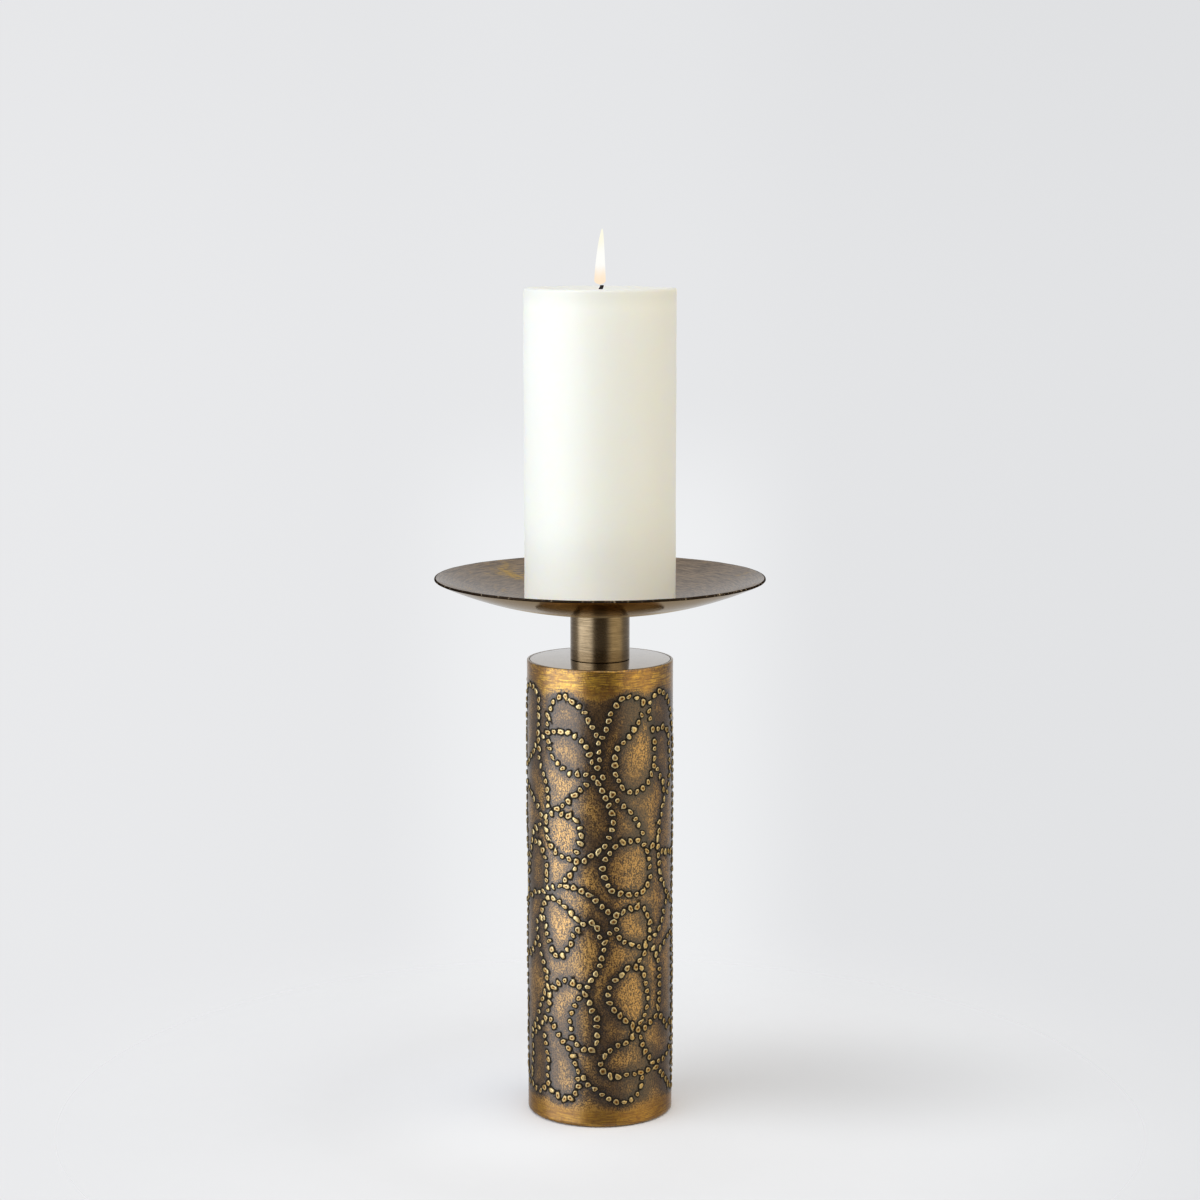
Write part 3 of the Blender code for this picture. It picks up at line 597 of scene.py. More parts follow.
def wax():
    """Ivory wax that light passes a little way into, painted paler at its foot and greyer on top, with a
    painted glow at its lower left for light off the dish.
    """
    material, n, surface = finish_of("wax", Roughness=0.42, Subsurface_Weight=0.4, Subsurface_Scale=0.012)
    n.feed(surface, "Subsurface Radius", (1.0, 0.8, 0.45))
    cloud = n.noise(n.place((1.0, 1.0, 0.4)), 0.02, 3.0, 0.5)
    grain = n.noise(n.place(), 0.5, 3.0, 0.6)
    side, _, height = n.axes()
    ivory = n.mix(n.fade(cloud, 0.3, 0.7), (0.896, 0.890, 0.806), (0.916, 0.912, 0.844))
    # painted light: paler wax toward the foot, lifting the shade that the dish throws on it
    ivory = n.mix(n.fade(height, CANDLE_BOTTOM, CANDLE_BOTTOM + 90.0, 1.0, 0.0), ivory, (0.985, 0.982, 0.87))
    # painted shade: greyer wax on the top and over the upper 9 mm, as if less lit from above
    top = n.fade(height, CANDLE_TOP - 9.0, CANDLE_TOP, 0.0, 0.4)
    soft = n.math("MAXIMUM", top, n.fade(n.facing_up(), 0.0, 0.5))
    n.feed(surface, "Base Color", n.mix(soft, ivory, (0.71, 0.705, 0.655)))
    n.feed(surface, "Normal", n.bump(grain, 0.03))
    # painted light: the wax glows a little at its lower left, standing in for light thrown up off the dish
    painted_dish_glow = n.fade(height, CANDLE_BOTTOM, CANDLE_BOTTOM + 34.0, 0.22, 0.0)
    n.feed(surface, "Emission Strength", n.product(painted_dish_glow, n.fade(side, -34.0, 30.0, 1.0, 0.0)))
    n.feed(surface, "Emission Color", (1.0, 0.985, 0.93))
    return material


def grained(n, surface, grain, tones, dark, light, depth):
    """Colours a surface from dark to light by its grain, and raises it by the same grain."""
    n.feed(surface, "Base Color", n.mix(n.fade(grain, *tones), dark, light))
    n.feed(surface, "Normal", n.bump(grain, depth))


def charred_cord():
    """Burnt cotton: black with a twisted grain and a few grey flecks of ash."""
    material, n, surface = finish_of("charred_wick", Roughness=0.95)
    twist = n.noise(n.place((1.0, 1.0, 0.4)), 2.0, 3.0, 0.6)
    grained(n, surface, twist, (0.55, 0.75), (0.008, 0.006, 0.005), (0.05, 0.045, 0.04), 0.15)
    return material


def flame_light():
    """Glowing gas: peach at the foot, white in the middle, pale yellow at the tip."""
    material, n, surface = finish_of("flame", Base_Color=(0.0, 0.0, 0.0), Roughness=1.0,
                                     Specular_IOR_Level=0.0, Emission_Strength=1.0)
    share = n.fade(n.axes()[2], FLAME_FOOT, FLAME_TOP)
    flicker = n.noise(n.place((1.0, 1.0, 0.2)), 0.4, 2.0, 0.5)
    share = n.sum(share, n.fade(flicker, 0.2, 0.8, -0.04, 0.04))
    low = n.mix(n.fade(share, 0.0, 0.32), (1.0, 0.82, 0.62), (1.0, 1.0, 0.96))
    n.feed(surface, "Emission Color", n.mix(n.fade(share, 0.55, 1.0), low, (1.0, 0.97, 0.80)))
    return material


def felt():
    """Dark felt: short tangled fibres."""
    material, n, surface = finish_of("felt", Roughness=1.0, Sheen_Weight=0.4)
    fibres = n.noise(n.place(), 3.0, 5.0, 0.7, 1.5)
    n.feed(surface, "Base Color", n.mix(fibres, (0.010, 0.010, 0.011), (0.05, 0.048, 0.045)))
    n.feed(surface, "Normal", n.bump(fibres, 0.25))
    return material


def fibre():
    """Pressed fibre washer: dark brown with short flecks."""
    material, n, surface = finish_of("fibre", Roughness=0.8)
    flecks = n.noise(n.place((1.0, 1.0, 3.0)), 1.5, 4.0, 0.7)
    grained(n, surface, flecks, (0.35, 0.7), (0.02, 0.014, 0.01), (0.07, 0.045, 0.03), 0.05)
    return material


def turned_steel():
    """Bright steel with lathe marks and a thin film of oil."""
    return bronze("turned_steel", (0.58, 0.57, 0.55), (0.36, 0.35, 0.34), rough=0.32,
                  lathe=(12.0, 3.0, 3.0), brush=0.02)


def zinc():
    """Zinc plate: pale, slightly blue, with a fine spangle."""
    material, n, surface = finish_of("zinc", Metallic=1.0)
    spangle = n.noise(n.place(), 0.9, 4.0, 0.6)
    grained(n, surface, spangle, (0.35, 0.65), (0.44, 0.45, 0.46), (0.66, 0.67, 0.67), 0.03)
    n.feed(surface, "Roughness", n.fade(spangle, 0.3, 0.7, 0.45, 0.30))
    return material


def threaded_zinc():
    """Zinc-plated screw thread: a wave that climbs one pitch in each turn."""
    material, n, surface = finish_of("threaded_zinc", Metallic=1.0)
    x, y, z = n.axes()
    turn = n.math("DIVIDE", n.math("ARCTAN2", y, x), FULL_TURN)
    climb = n.math("SUBTRACT", n.math("DIVIDE", z, THREAD_PITCH), turn)
    wave = n.math("PINGPONG", climb, 0.5)
    grime = n.noise(n.place(), 0.6, 4.0, 0.6)
    n.feed(surface, "Base Color", n.mix(n.fade(wave, 0.05, 0.4), (0.16, 0.15, 0.14), grey(0.60)))
    n.feed(surface, "Roughness", n.fade(grime, 0.3, 0.7, 0.30, 0.50))
    n.feed(surface, "Normal", n.bump(wave, 1.4))
    return material


def cast_iron():
    """Cast iron under thin black paint: sandy skin with a little rust."""
    material, n, surface = finish_of("cast_iron", Roughness=0.75)
    sand = n.noise(n.place(), 1.2, 5.0, 0.7)
    rust = n.noise(n.place(), 0.08, 4.0, 0.65)
    painted = n.mix(sand, (0.012, 0.012, 0.013), (0.05, 0.05, 0.05))
    n.feed(surface, "Base Color", n.mix(n.fade(rust, 0.58, 0.68), painted, (0.13, 0.05, 0.02)))
    n.feed(surface, "Normal", n.bump(sand, 0.3))
    return material


# ---------------------------------------------------------------- the sleeve


def curve_through(stops, samples=8):
    """Points on a smooth curve through these, each (degrees, height), as (distance round, height)."""
    stops = np.array([(math.radians(a) * SLEEVE_RADIUS, z) for a, z in stops])
    if np.allclose(stops[0], stops[-1]):
        padded = np.vstack([stops[-2], stops, stops[1]])
    else:
        padded = np.vstack([2 * stops[0] - stops[1], stops, 2 * stops[-1] - stops[-2]])
    t = np.linspace(0, 1, samples, endpoint=False)[:, None]
    pieces = []
    for a, b, c, d in zip(padded, padded[1:], padded[2:], padded[3:]):
        pieces.append(b + 0.5 * t * (c - a + t * (2 * a - 5 * b + 4 * c - d + t * (3 * b - 3 * c + d - a))))
    return np.vstack(pieces + [stops[-1:]])


def spaced(curve, spacing):
    """Points at even steps along a curve, as near to this spacing as fits."""
    steps = np.hypot(*np.diff(curve, axis=0).T)
    along = np.concatenate([[0], np.cumsum(steps)])
    stops = np.linspace(0, along[-1], max(1, round(along[-1] / spacing)) + 1)
    return np.column_stack([np.interp(stops, along, curve[:, i]) for i in (0, 1)])


def ornament_curves():
    """The punched lines: the front's, and the same turned half round and upside down for the back."""
    curves = []
    for route in ROUTES:
        curves.append(curve_through(route))
        away = [(a + (180 if a < 0 else -180), SLEEVE_TOP + SLEEVE_BOTTOM - z) for a, z in route]
        signs = {a > 0 for a, _ in away}
        if len(signs) == 1:
            curves.append(curve_through(away))
            continue
        whole = curve_through([(a + 180, SLEEVE_TOP + SLEEVE_BOTTOM - z) for a, z in route])
        curves += cut_at_seam(whole)
    return curves


def cut_at_seam(curve):
    """A curve that crosses the seam, as pieces that lie within half a turn to either side of the front."""
    beyond = curve[:, 0] > HALF_ROUND
    breaks = np.flatnonzero(np.diff(beyond.astype(int))) + 1
    found = []
    for piece in np.split(curve, breaks):
        if len(piece) < 2:
            continue
        shift = 2 * HALF_ROUND if piece[0, 0] > HALF_ROUND else 0
        found.append(piece - (shift, 0))
    return found


def bell(distance, reach):
    """1 where the distance is nought, falling away to nothing over this reach."""
    return np.exp(-((distance / reach) ** 2))


class Marks:
    """The punched marks: where each is, and its own size, shape and wear."""

    def __init__(self, curves):
        draw = random.Random(7)
        rows = []
        for curve in curves:
            for u, z in spaced(curve, MARK_SPACING):
                row = self.drawn(draw, u, z)
                if self.has_room(row, rows):
                    rows.append(row)
        columns = np.array(rows).T
        self.u, self.z, self.size, self.stretch, self.turn = columns[:5]
        self.tall, self.pit, self.slip, self.tail = columns[5:]

    def drawn(self, draw, u, z):
        """One mark close to a point of a line: its place, then what the class keeps of it, in that order."""
        return (
            u + draw.gauss(0, MARK_STRAY),
            z + draw.gauss(0, MARK_STRAY),
            MARK_RADIUS * draw.uniform(*MARK_SIZES),
            draw.choice(MARK_STRETCHES),
            draw.uniform(0, math.pi),
            MARK_HEIGHT * draw.uniform(*MARK_HEIGHTS),
            draw.choice(PIT_DEPTHS),
            draw.uniform(0, FULL_TURN),
            draw.choice(TAILS),
        )

    def has_room(self, row, rows):
        """Whether a mark is clear of the seam, of the sleeve's ends and of the marks before it."""
        u, z = row[:2]
        if abs(u) > HALF_ROUND - SEAM_CLEARANCE:
            return False
        if not SLEEVE_BOTTOM + END_STRIP < z < SLEEVE_TOP - END_STRIP:
            return False
        return not rows or np.hypot(*(np.array(rows)[:, :2] - (u, z)).T).min() >= MARK_CLEARANCE

    def outline(self, angle, which):
        """How far out the uneven edge of these marks lies at an angle, as a share of a round one's radius."""
        slip = self.slip[which]
        uneven = 1
        for waves, size, share in EDGE_WAVES:
            uneven = uneven + size * np.sin(waves * angle + share * slip)
        off = (angle - slip + math.pi) % FULL_TURN - math.pi
        return uneven + self.tail[which] * bell(off, TAIL_WIDTH)

    def reach(self, points):
        """For each point, its nearest mark and how far out it is, as a share of the mark's radius."""
        nearest, reach = [], []
        for some in np.array_split(points, 60):
            du = some[:, :1] - self.u
            dz = some[:, 1:] - self.z
            along = (du * np.cos(self.turn) + dz * np.sin(self.turn)) / self.stretch
            across = (dz * np.cos(self.turn) - du * np.sin(self.turn)) * self.stretch
            shares = np.hypot(along, across) / self.size
            which = shares.argmin(1)
            row = np.arange(len(some))
            angle = np.arctan2(across[row, which], along[row, which])
            nearest.append(which)
            reach.append(shares[row, which] / self.outline(angle, which))
        return np.concatenate(nearest), np.concatenate(reach)

    def ring_points(self):
        """Points in rings over each mark, close together where its side is steep."""
        found, owners = [], []
        for i in range(len(self.u)):
            for ring, share in enumerate(RING_SHARES):
                count = RING_POINTS[ring]
                for k in range(count):
                    angle = FULL_TURN * k / count
                    out = share * self.size[i] * self.outline(angle, i)
                    along = out * math.cos(angle) * self.stretch[i]
                    across = out * math.sin(angle) / self.stretch[i]
                    c, s = math.cos(self.turn[i]), math.sin(self.turn[i])
                    found.append((self.u[i] + along * c - across * s, self.z[i] + along * s + across * c))
                    owners.append(i)
        return np.array(found), np.array(owners)


RING_SHARES = (0.0, 0.28, 0.56, 0.84, 1.02, 1.26, 1.60)  # of a mark's radius
RING_POINTS = (1, 6, 12, 14, 14, 14, 12)
RELIEF_SHARES = (*RING_SHARES, 2.0)
RELIEF_HEIGHTS = (1.0, 1.0, 0.90, 0.60, 0.02, -0.12, -0.06, 0.0)  # of a mark's height
PIT_SHARE = 0.46
PIT_DEPTH = 0.75  # of a mark's height
CLEAR_OF_MARKS = 0.3  # from a mark's last ring to the grid's next point, as a share of its radius
EDGE_INSET = 0.25  # from the sleeve's ends to their next points
SEAM_INSETS = (0, 0.35, 0.7)
JITTER = 0.3  # of the grid's spacing
LINE_SWELL = 0.16  # the metal swells this far along a punched line
SWELL_REACH = 2.6
SWELL_FADE = 3  # the swell dies out this far from the sleeve's ends
SEAM_GROOVE = 0.25  # the solder lies this deep
SEAM_REACH = 0.3
EDGE_EASE = 0.25  # the ends' edges are filed back this far
EDGE_REACH = 0.15
FAR_FROM_LINES = 9.0  # what the inner side has for its distance to the lines


def plain_points(marks):
    """A jittered grid over the unrolled sleeve, with even points along its edges and its seam."""
    draw = random.Random(3)
    columns = round(2 * HALF_ROUND / GRID)
    rows = round((SLEEVE_TOP - SLEEVE_BOTTOM) / GRID)
    across = np.linspace(-HALF_ROUND, HALF_ROUND, columns + 1)
    up = np.linspace(SLEEVE_BOTTOM, SLEEVE_TOP, rows + 1)
    levels = (SLEEVE_BOTTOM, SLEEVE_BOTTOM + EDGE_INSET, SLEEVE_TOP - EDGE_INSET, SLEEVE_TOP)
    edge = [(u, z) for u in across for z in levels]
    seam = [(side * (HALF_ROUND - inset), z) for side in (-1, 1) for inset in SEAM_INSETS for z in up[1:-1]]
    inner = []
    for u in across[2:-2]:
        for z in up[1:-1]:
            inner.append((u + draw.uniform(-JITTER, JITTER) * GRID, z + draw.uniform(-JITTER, JITTER) * GRID))
    inner = np.array(inner)
    _, reach = marks.reach(inner)
    return np.vstack([edge, seam, inner[reach > RING_SHARES[-1] + CLEAR_OF_MARKS]])


def marked_sheet(marks):
    """The unrolled sheet, triangulated round its marks: points and faces."""
    rings, owners = marks.ring_points()
    nearest, _ = marks.reach(rings)
    sheet = np.vstack([rings[nearest == owners], plain_points(marks)])
    placed, _, faces, *_ = delaunay_2d_cdt([tuple(p) for p in sheet], [], [], 0, 1e-6)
    return np.array([tuple(p) for p in placed]), [tuple(f) for f in faces]


def rolled(sheet, line, relief):
    """Where the sheet's points lie once it is rolled up, raised by their relief and by the swell."""
    swell = LINE_SWELL * bell(line, SWELL_REACH)
    seam = SEAM_GROOVE * bell(HALF_ROUND - np.abs(sheet[:, 0]), SEAM_REACH)
    edge = np.minimum(sheet[:, 1] - SLEEVE_BOTTOM, SLEEVE_TOP - sheet[:, 1])
    ease = EDGE_EASE * bell(edge, EDGE_REACH)
    radius = SLEEVE_RADIUS + relief + swell * np.clip(edge / SWELL_FADE, 0, 1) - seam - ease
    angle = sheet[:, 0] / SLEEVE_RADIUS
    return np.column_stack([radius * np.sin(angle), -radius * np.cos(angle), sheet[:, 1]])


def make_sleeve():
    """The punched tube: the unrolled sheet is triangulated round its marks, raised, and rolled up."""
    curves = ornament_curves()
    marks = Marks(curves)
    sheet, faces = marked_sheet(marks)
    nearest, reach = marks.reach(sheet)
    line = line_distance(sheet, curves)
    pit = marks.pit[nearest] * bell(reach, PIT_SHARE)
    relief = marks.tall[nearest] * (np.interp(reach, RELIEF_SHARES, RELIEF_HEIGHTS) - PIT_DEPTH * pit)
    points, faces, kept = roll_up(sheet, rolled(sheet, line, relief), faces)
    points, faces = add_inner_wall(sheet[kept], points, faces)
    piece = new_piece("sleeve_punched", points, faces, punched_brass(), "base", "punched_brass", "sleeve",
                      crease=50)
    keep_values(piece, "line_mm", line[kept], FAR_FROM_LINES)
    keep_values(piece, "pad", np.interp(reach, (0.0, 0.80, 0.97), (1.0, 1.0, 0.0))[kept])
    keep_values(piece, "pit", np.clip(1.5 * pit, 0, 1)[kept])
    # ring marks the near-black of patina and painted shade: the groove round each mark and its side walls
    keep_values(piece, "ring", np.interp(reach, (0.80, 0.96, 1.26, 1.60), (0.0, 1.0, 1.0, 0.0))[kept])


def keep_values(piece, name, numbers, others=0.0):
    """Keeps a number for each of the piece's first points, and one number for all the others."""
    spread = np.full(len(piece.data.vertices), others)
    spread[: len(numbers)] = numbers
    layer = piece.data.attributes.new(name, "FLOAT", "POINT")
    layer.data.foreach_set("value", spread.astype(np.float32))


def line_distance(sheet, curves):
    """Distance from each point to the nearest punched line, also across the seam."""
    stops = np.vstack([spaced(curve, 1.0) for curve in curves])
    circle = FULL_TURN * SLEEVE_RADIUS
    stops = np.vstack([stops + (shift, 0) for shift in (-circle, 0, circle)])
    tree = KDTree(len(stops))
    for i, (u, z) in enumerate(stops):
        tree.insert((u, z, 0), i)
    tree.balance()
    return np.array([tree.find((u, z, 0))[2] for u, z in sheet])


def roll_up(sheet, points, faces):
    """Joins the sheet's two sides, whose points match, and drops the second side's."""
    left = {round(z, 3): i for i, (u, z) in enumerate(sheet) if u < -HALF_ROUND + TOUCHING}
    stands_for = np.arange(len(sheet))
    for i, (u, z) in enumerate(sheet):
        if u > HALF_ROUND - TOUCHING:
            stands_for[i] = left[round(z, 3)]
    kept = np.flatnonzero(stands_for == np.arange(len(sheet)))
    new_index = np.full(len(sheet), -1)
    new_index[kept] = np.arange(len(kept))
    joined = [tuple(int(new_index[stands_for[i]]) for i in face) for face in faces]
    return points[kept], joined, kept


def add_inner_wall(sheet, points, faces):
    """Closes the tube: the flat ends of the sheet metal and its inner side."""
    bore = SLEEVE_RADIUS - SHEET
    points, faces = list(map(tuple, points)), list(faces)
    inner = {}
    outer = {}
    for end, z in (("bottom", SLEEVE_BOTTOM), ("top", SLEEVE_TOP)):
        ends = np.flatnonzero(np.abs(sheet[:, 1] - z) < TOUCHING)
        outer[end] = ends[np.argsort(sheet[ends, 0])].tolist()
        inner[end] = []
        for i in outer[end]:
            angle = sheet[i, 0] / SLEEVE_RADIUS
            inner[end].append(len(points))
            points.append((bore * math.sin(angle), -bore * math.cos(angle), z))
    count = len(outer["top"])
    for i in range(count):
        j = (i + 1) % count
        faces.append((outer["top"][i], outer["top"][j], inner["top"][j], inner["top"][i]))
        faces.append((inner["top"][i], inner["top"][j], inner["bottom"][j], inner["bottom"][i]))
        faces.append((inner["bottom"][i], inner["bottom"][j], outer["bottom"][j], outer["bottom"][i]))
    return np.array(points), faces


# ---------------------------------------------------------------- other pieces


def make_top_plate():
    """The polished disc let into the sleeve, flush with its edge."""
    profile = rounded([
        (BORE, PLATE_TOP, 0),
        (PLATE_RADIUS, PLATE_TOP, 0.12),
        (PLATE_RADIUS, PLATE_BOTTOM, 0.2),
        (BORE, PLATE_BOTTOM, 0),
    ])
    points, faces = turned(profile, closed=True)
    look = bronze("plate_bronze", (0.40, 0.31, 0.195), (0.30, 0.23, 0.145), rough=0.10,
                  lathe=(6.0, 2.5, 0.0), brush=0.004, coat=0.8)
    new_piece("top_plate_polished", points, faces, look, "base", "plate_bronze", "top_plate")


def make_felt():
    """The felt pad under the base, its edge softly rounded."""
    profile = rounded([
        (0.0, FELT_TOP, 0),
        (FELT_RADIUS, FELT_TOP, 0.6),
        (FELT_RADIUS, FELT_BOTTOM, 0.6),
        (0.0, FELT_BOTTOM, 0),
    ])
    points, faces = turned(profile)
    new_piece("felt_pad_soft", points, faces, felt(), "base", "felt", "felt_pad", crease=60)


def make_neck():
    """The satin tube between base and dish, with a thin skirt that hides the washer at its foot."""
    bore = NECK_RADIUS - NECK_WALL
    foot = SLEEVE_TOP + SKIRT_GAP
    profile = rounded([
        (bore, NECK_TOP, 0),
        (NECK_RADIUS, NECK_TOP, 0.25),
        (NECK_RADIUS, foot, 0.15),
        (WASHER_RADIUS + 0.2, foot, 0),
        (WASHER_RADIUS + 0.2, NECK_BOTTOM, 0),
        (bore, NECK_BOTTOM, 0),
    ])
    points, faces = turned(profile, closed=True)
    look = bronze("neck_bronze", (0.345, 0.250, 0.145), (0.165, 0.115, 0.06), rough=0.25,
                  lathe=(1.2, 0.0, 5.5), brush=0.0005, coat=0.3)
    new_piece("neck_satin", points, faces, look, "dish_top", "neck_bronze", "neck")


def dish_underside(radius):
    """Height of the dish's underside at this radius."""
    share = radius / DISH_RADIUS
    return DISH_BOTTOM + DISH_BOWL * share**2 + DISH_FLARE * share**4


def dish_slope(radius):
    """Angle of the dish's underside at this radius, in radians."""
    share = radius / DISH_RADIUS
    return math.atan((2 * DISH_BOWL * share + 4 * DISH_FLARE * share**3) / DISH_RADIUS)


def make_dish():
    """The spun dish, of one thickness, with its rim dressed by hand."""
    hole = BORE + 0.1
    lip = SHEET / 2
    tilt = dish_slope(DISH_RADIUS)
    last = DISH_RADIUS - lip * (1 - math.sin(tilt))
    radii = np.linspace(hole, last, 72)
    lower = [(r, dish_underside(r)) for r in radii]
    upper = []
    for r in radii:
        angle = dish_slope(r)
        upper.append((r - SHEET * math.sin(angle), dish_underside(r) + SHEET * math.cos(angle)))
    upper[0] = (hole, upper[0][1])
    centre = (np.array(upper[-1]) + lower[-1]) / 2
    rim = []
    for turn in np.linspace(math.pi / 2, -math.pi / 2, 9)[1:-1]:
        rim.append((centre[0] + lip * math.cos(turn + tilt), centre[1] + lip * math.sin(turn + tilt)))
    points, faces = turned(upper + rim + lower[::-1], steps=288, closed=True)
    angle = np.arctan2(points[:, 1], points[:, 0])
    distance = np.hypot(points[:, 0], points[:, 1])
    points[:, 2] += ripple(angle, 5, (3, 7, 19, 41), RIM_RIPPLE) * np.clip((distance - 70) / 12, 0, 1)
    new_piece("dish_spun", points, faces, dish_bronze(), "dish_top", "dish_bronze", "dish", crease=60)


def make_pricket():
    """The spike: flange, point, and the stud below it."""
    flange_top = PRICKET_TOP - SPIKE_HEIGHT
    flange_bottom = flange_top - FLANGE_THICKNESS
    profile = rounded([
        (0.0, PRICKET_TOP, 0),
        (0.4, PRICKET_TOP - 0.2, 0.3),
        (SPIKE_RADIUS, flange_top + 4.0, 3.0),
        (SPIKE_RADIUS, flange_top, 0.3),
        (PRICKET_RADIUS, flange_top, 0.4),
        (PRICKET_RADIUS, flange_bottom, 0.2),
        (THREAD_RADIUS, flange_bottom, 0.1),
        (THREAD_RADIUS, PRICKET_BOTTOM, 0.5),
        (0.0, PRICKET_BOTTOM, 0),
    ])
    points, faces = turned(profile, steps=64)
    new_piece("pricket_turned", points, faces, turned_steel(), "dish_top", "plain_steel", "pricket")


def candle_profile():
    """The pillar's profile, with a shallow melt pool and holes for the wick and the spike."""
    pool = CANDLE_TOP - MELT_POOL_DEPTH
    wick_hole = WICK_RADIUS + 0.3
    spike_hole = SPIKE_RADIUS + 0.3
    wall = [(CANDLE_RADIUS, z) for z in np.linspace(CANDLE_TOP - SHOULDER, CANDLE_BOTTOM + SHOULDER, 60)]
    top = rounded([
        (0.0, WICK_BOTTOM - 0.3, 0),
        (wick_hole, WICK_BOTTOM - 0.3, 0),
        (wick_hole, pool, 0.6),
        (CANDLE_RADIUS * 0.5, pool + 0.35, 4.0),
        (CANDLE_RADIUS * 0.8, pool + 1.1, 3.0),
        (CANDLE_RADIUS - 2.4, CANDLE_TOP + 0.4, 1.2),
        (CANDLE_RADIUS - 1.2, CANDLE_TOP + 0.7, 0.5),
        (CANDLE_RADIUS, CANDLE_TOP + 0.3, 0.9),
        (CANDLE_RADIUS, CANDLE_TOP - SHOULDER, 0),
    ])
    foot = rounded([
        (CANDLE_RADIUS, CANDLE_BOTTOM + SHOULDER, 0),
        (CANDLE_RADIUS, CANDLE_BOTTOM, 1.4),
        (spike_hole, CANDLE_BOTTOM, 0.4),
        (spike_hole, PRICKET_TOP + 1.0, 0),
        (0.0, PRICKET_TOP + 2.0, 0),
    ])
    return top + wall[1:-1] + foot


def make_candle():
    """The pillar, its rim and its wall slightly uneven."""
    points, faces = turned(candle_profile(), steps=160)
    angle = np.arctan2(points[:, 1], points[:, 0])
    distance = np.hypot(points[:, 0], points[:, 1])
    height = points[:, 2]
    outside = np.clip((distance - 0.8 * CANDLE_RADIUS) / (0.15 * CANDLE_RADIUS), 0, 1)
    near_top = np.clip((height - CANDLE_TOP + 6) / 6, 0, 1) * outside
    points[:, 2] += ripple(angle, 11, (2, 3, 5, 9, 14), RIM_WAVE) * near_top - 0.1 * near_top
    points[:, 2] += FRONT_RISE * near_top * (0.6 - np.sin(angle))
    lean = 1 + outside * ripple(angle + height * 0.03, 12, (2, 3, 5), WALL_WAVE) / CANDLE_RADIUS
    points[:, :2] *= lean[:, None]
    new_piece("candle_wax", points, faces, wax(), "candle_body", "wax", "candle", crease=60)


def make_wick():
    """The charred wick: a twisted cord that leans over to the right at its end."""
    steps = 24
    rings = 26
    burnt = CANDLE_TOP - MELT_POOL_DEPTH
    points, faces = [], []
    for ring in range(rings):
        t = ring / (rings - 1)
        z = WICK_BOTTOM + (WICK_TIP - WICK_BOTTOM) * t
        over = max(0.0, (z - burnt) / (WICK_TIP - burnt))
        size = WICK_RADIUS * (1 + 0.32 * min(1.0, 2 * over) - 0.16 * over**4)
        for k in range(steps):
            angle = FULL_TURN * k / steps
            r = size * (0.86 + 0.14 * math.cos(3 * (angle + WICK_TWIST * z)))
            points.append((r * math.cos(angle) + 1.7 * over**1.5 - 0.6 * over, r * math.sin(angle), z))
    for ring in range(rings - 1):
        for k in range(steps):
            a, b = ring * steps + k, ring * steps + (k + 1) % steps
            faces.append((a, b, b + steps, a + steps))
    faces.append(tuple(range(steps))[::-1])
    faces.append(tuple(range((rings - 1) * steps, rings * steps)))
    new_piece("wick_charred", points, faces, charred_cord(), "candle_body", "charred_wick", "wick")


def make_flame():
    """A slender flame, widest near its foot, whose tip leans a little to the right."""
    length = FLAME_TOP - FLAME_FOOT
    profile = []
    for t in np.linspace(1, 0, 40):
        width = (1 - t**2.6) ** 0.6 * (1 - 0.42 * t) * min(1.0, (t / 0.06) ** 0.5)
        profile.append((1.06 * FLAME_RADIUS * width, FLAME_FOOT + length * t))
    points, faces = turned(profile, steps=48)
    share = (points[:, 2] - FLAME_FOOT) / length
    points[:, 0] += FLAME_LEAN * share**2
    new_piece("flame_glow", points, faces, flame_light(), "candle_body", "flame", "flame")


ZINC_PLATED = (
    "lower_washer", "lower_nut", "ballast_nut", "inner_nut", "outer_washer", "outer_nut", "dish_washer",
)


def dress_hidden_nodes():
    """Gives the CAD nodes their materials; a replaced one takes that of the piece that stands for it."""
    looks = dict.fromkeys(("base_plate", "neck_bush"), turned_steel())
    looks |= dict.fromkeys(ZINC_PLATED, zinc())
    looks |= {"tie_rod": threaded_zinc(), "ballast_disc": cast_iron(), "neck_washer": fibre()}
    for obj in bpy.context.scene.objects:
        if "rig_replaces" in obj:
            for node in obj["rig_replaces"]:
                looks[node] = obj.data.materials[0]
    for node, look in looks.items():
        mesh = frame["nodes"][node].data
        mesh.materials.clear()
        mesh.materials.append(look)


# ---------------------------------------------------------------- studio

BACKDROP_LEFT = (0.815, 0.82, 0.835)
BACKDROP_RIGHT = (0.758, 0.765, 0.78)
BACKDROP_GLOW = (0.862, 0.872, 0.886)  # behind the holder
BLACK = (0.0, 0.0, 0.0)
ROOM_FRONT = (0.36, 0.36, 0.37)
ROOM_BACK = (0.72, 0.73, 0.75)
CAMERA_SIDE = (0.055, 0.046, 0.036)  # the dark space round the camera
# The soft lights, each with its degrees round from the front, its degrees up, and its colour. The first two
# numbers of a range are its ends and the third is how many degrees it takes to fade.
LIGHT_BOXES = [
    ((-92.0, -31.5, 10.0), (-28.0, 52.0, 10.0), (2.08, 2.20, 2.36)),
    ((39.0, 92.0, 12.0), (-28.0, 52.0, 10.0), (1.00, 0.90, 0.66)),
    ((26.0, 116.0, 14.0), (20.0, 62.0, 10.0), (1.55, 1.50, 1.40)),
]
FLOOR_RADIUS = 620.0
FLOOR_RINGS = 12
FLOOR_DROP = 0.2  # just under the felt pad
SHADE_CENTRE = (100.0, 43.0, 0.0)  # of the soft shade to the right, on the floor squeezed by SHADE_SQUEEZE
SHADE_SQUEEZE = (0.67, 0.95, 0.0)
CAMERA_PLACE = (0.0, -1.4127, 0.4738)  # in metres
CAMERA_TIP = 81.56  # degrees from straight down
CAMERA_LENS = 84.9
SENSOR_WIDTH = 36.0


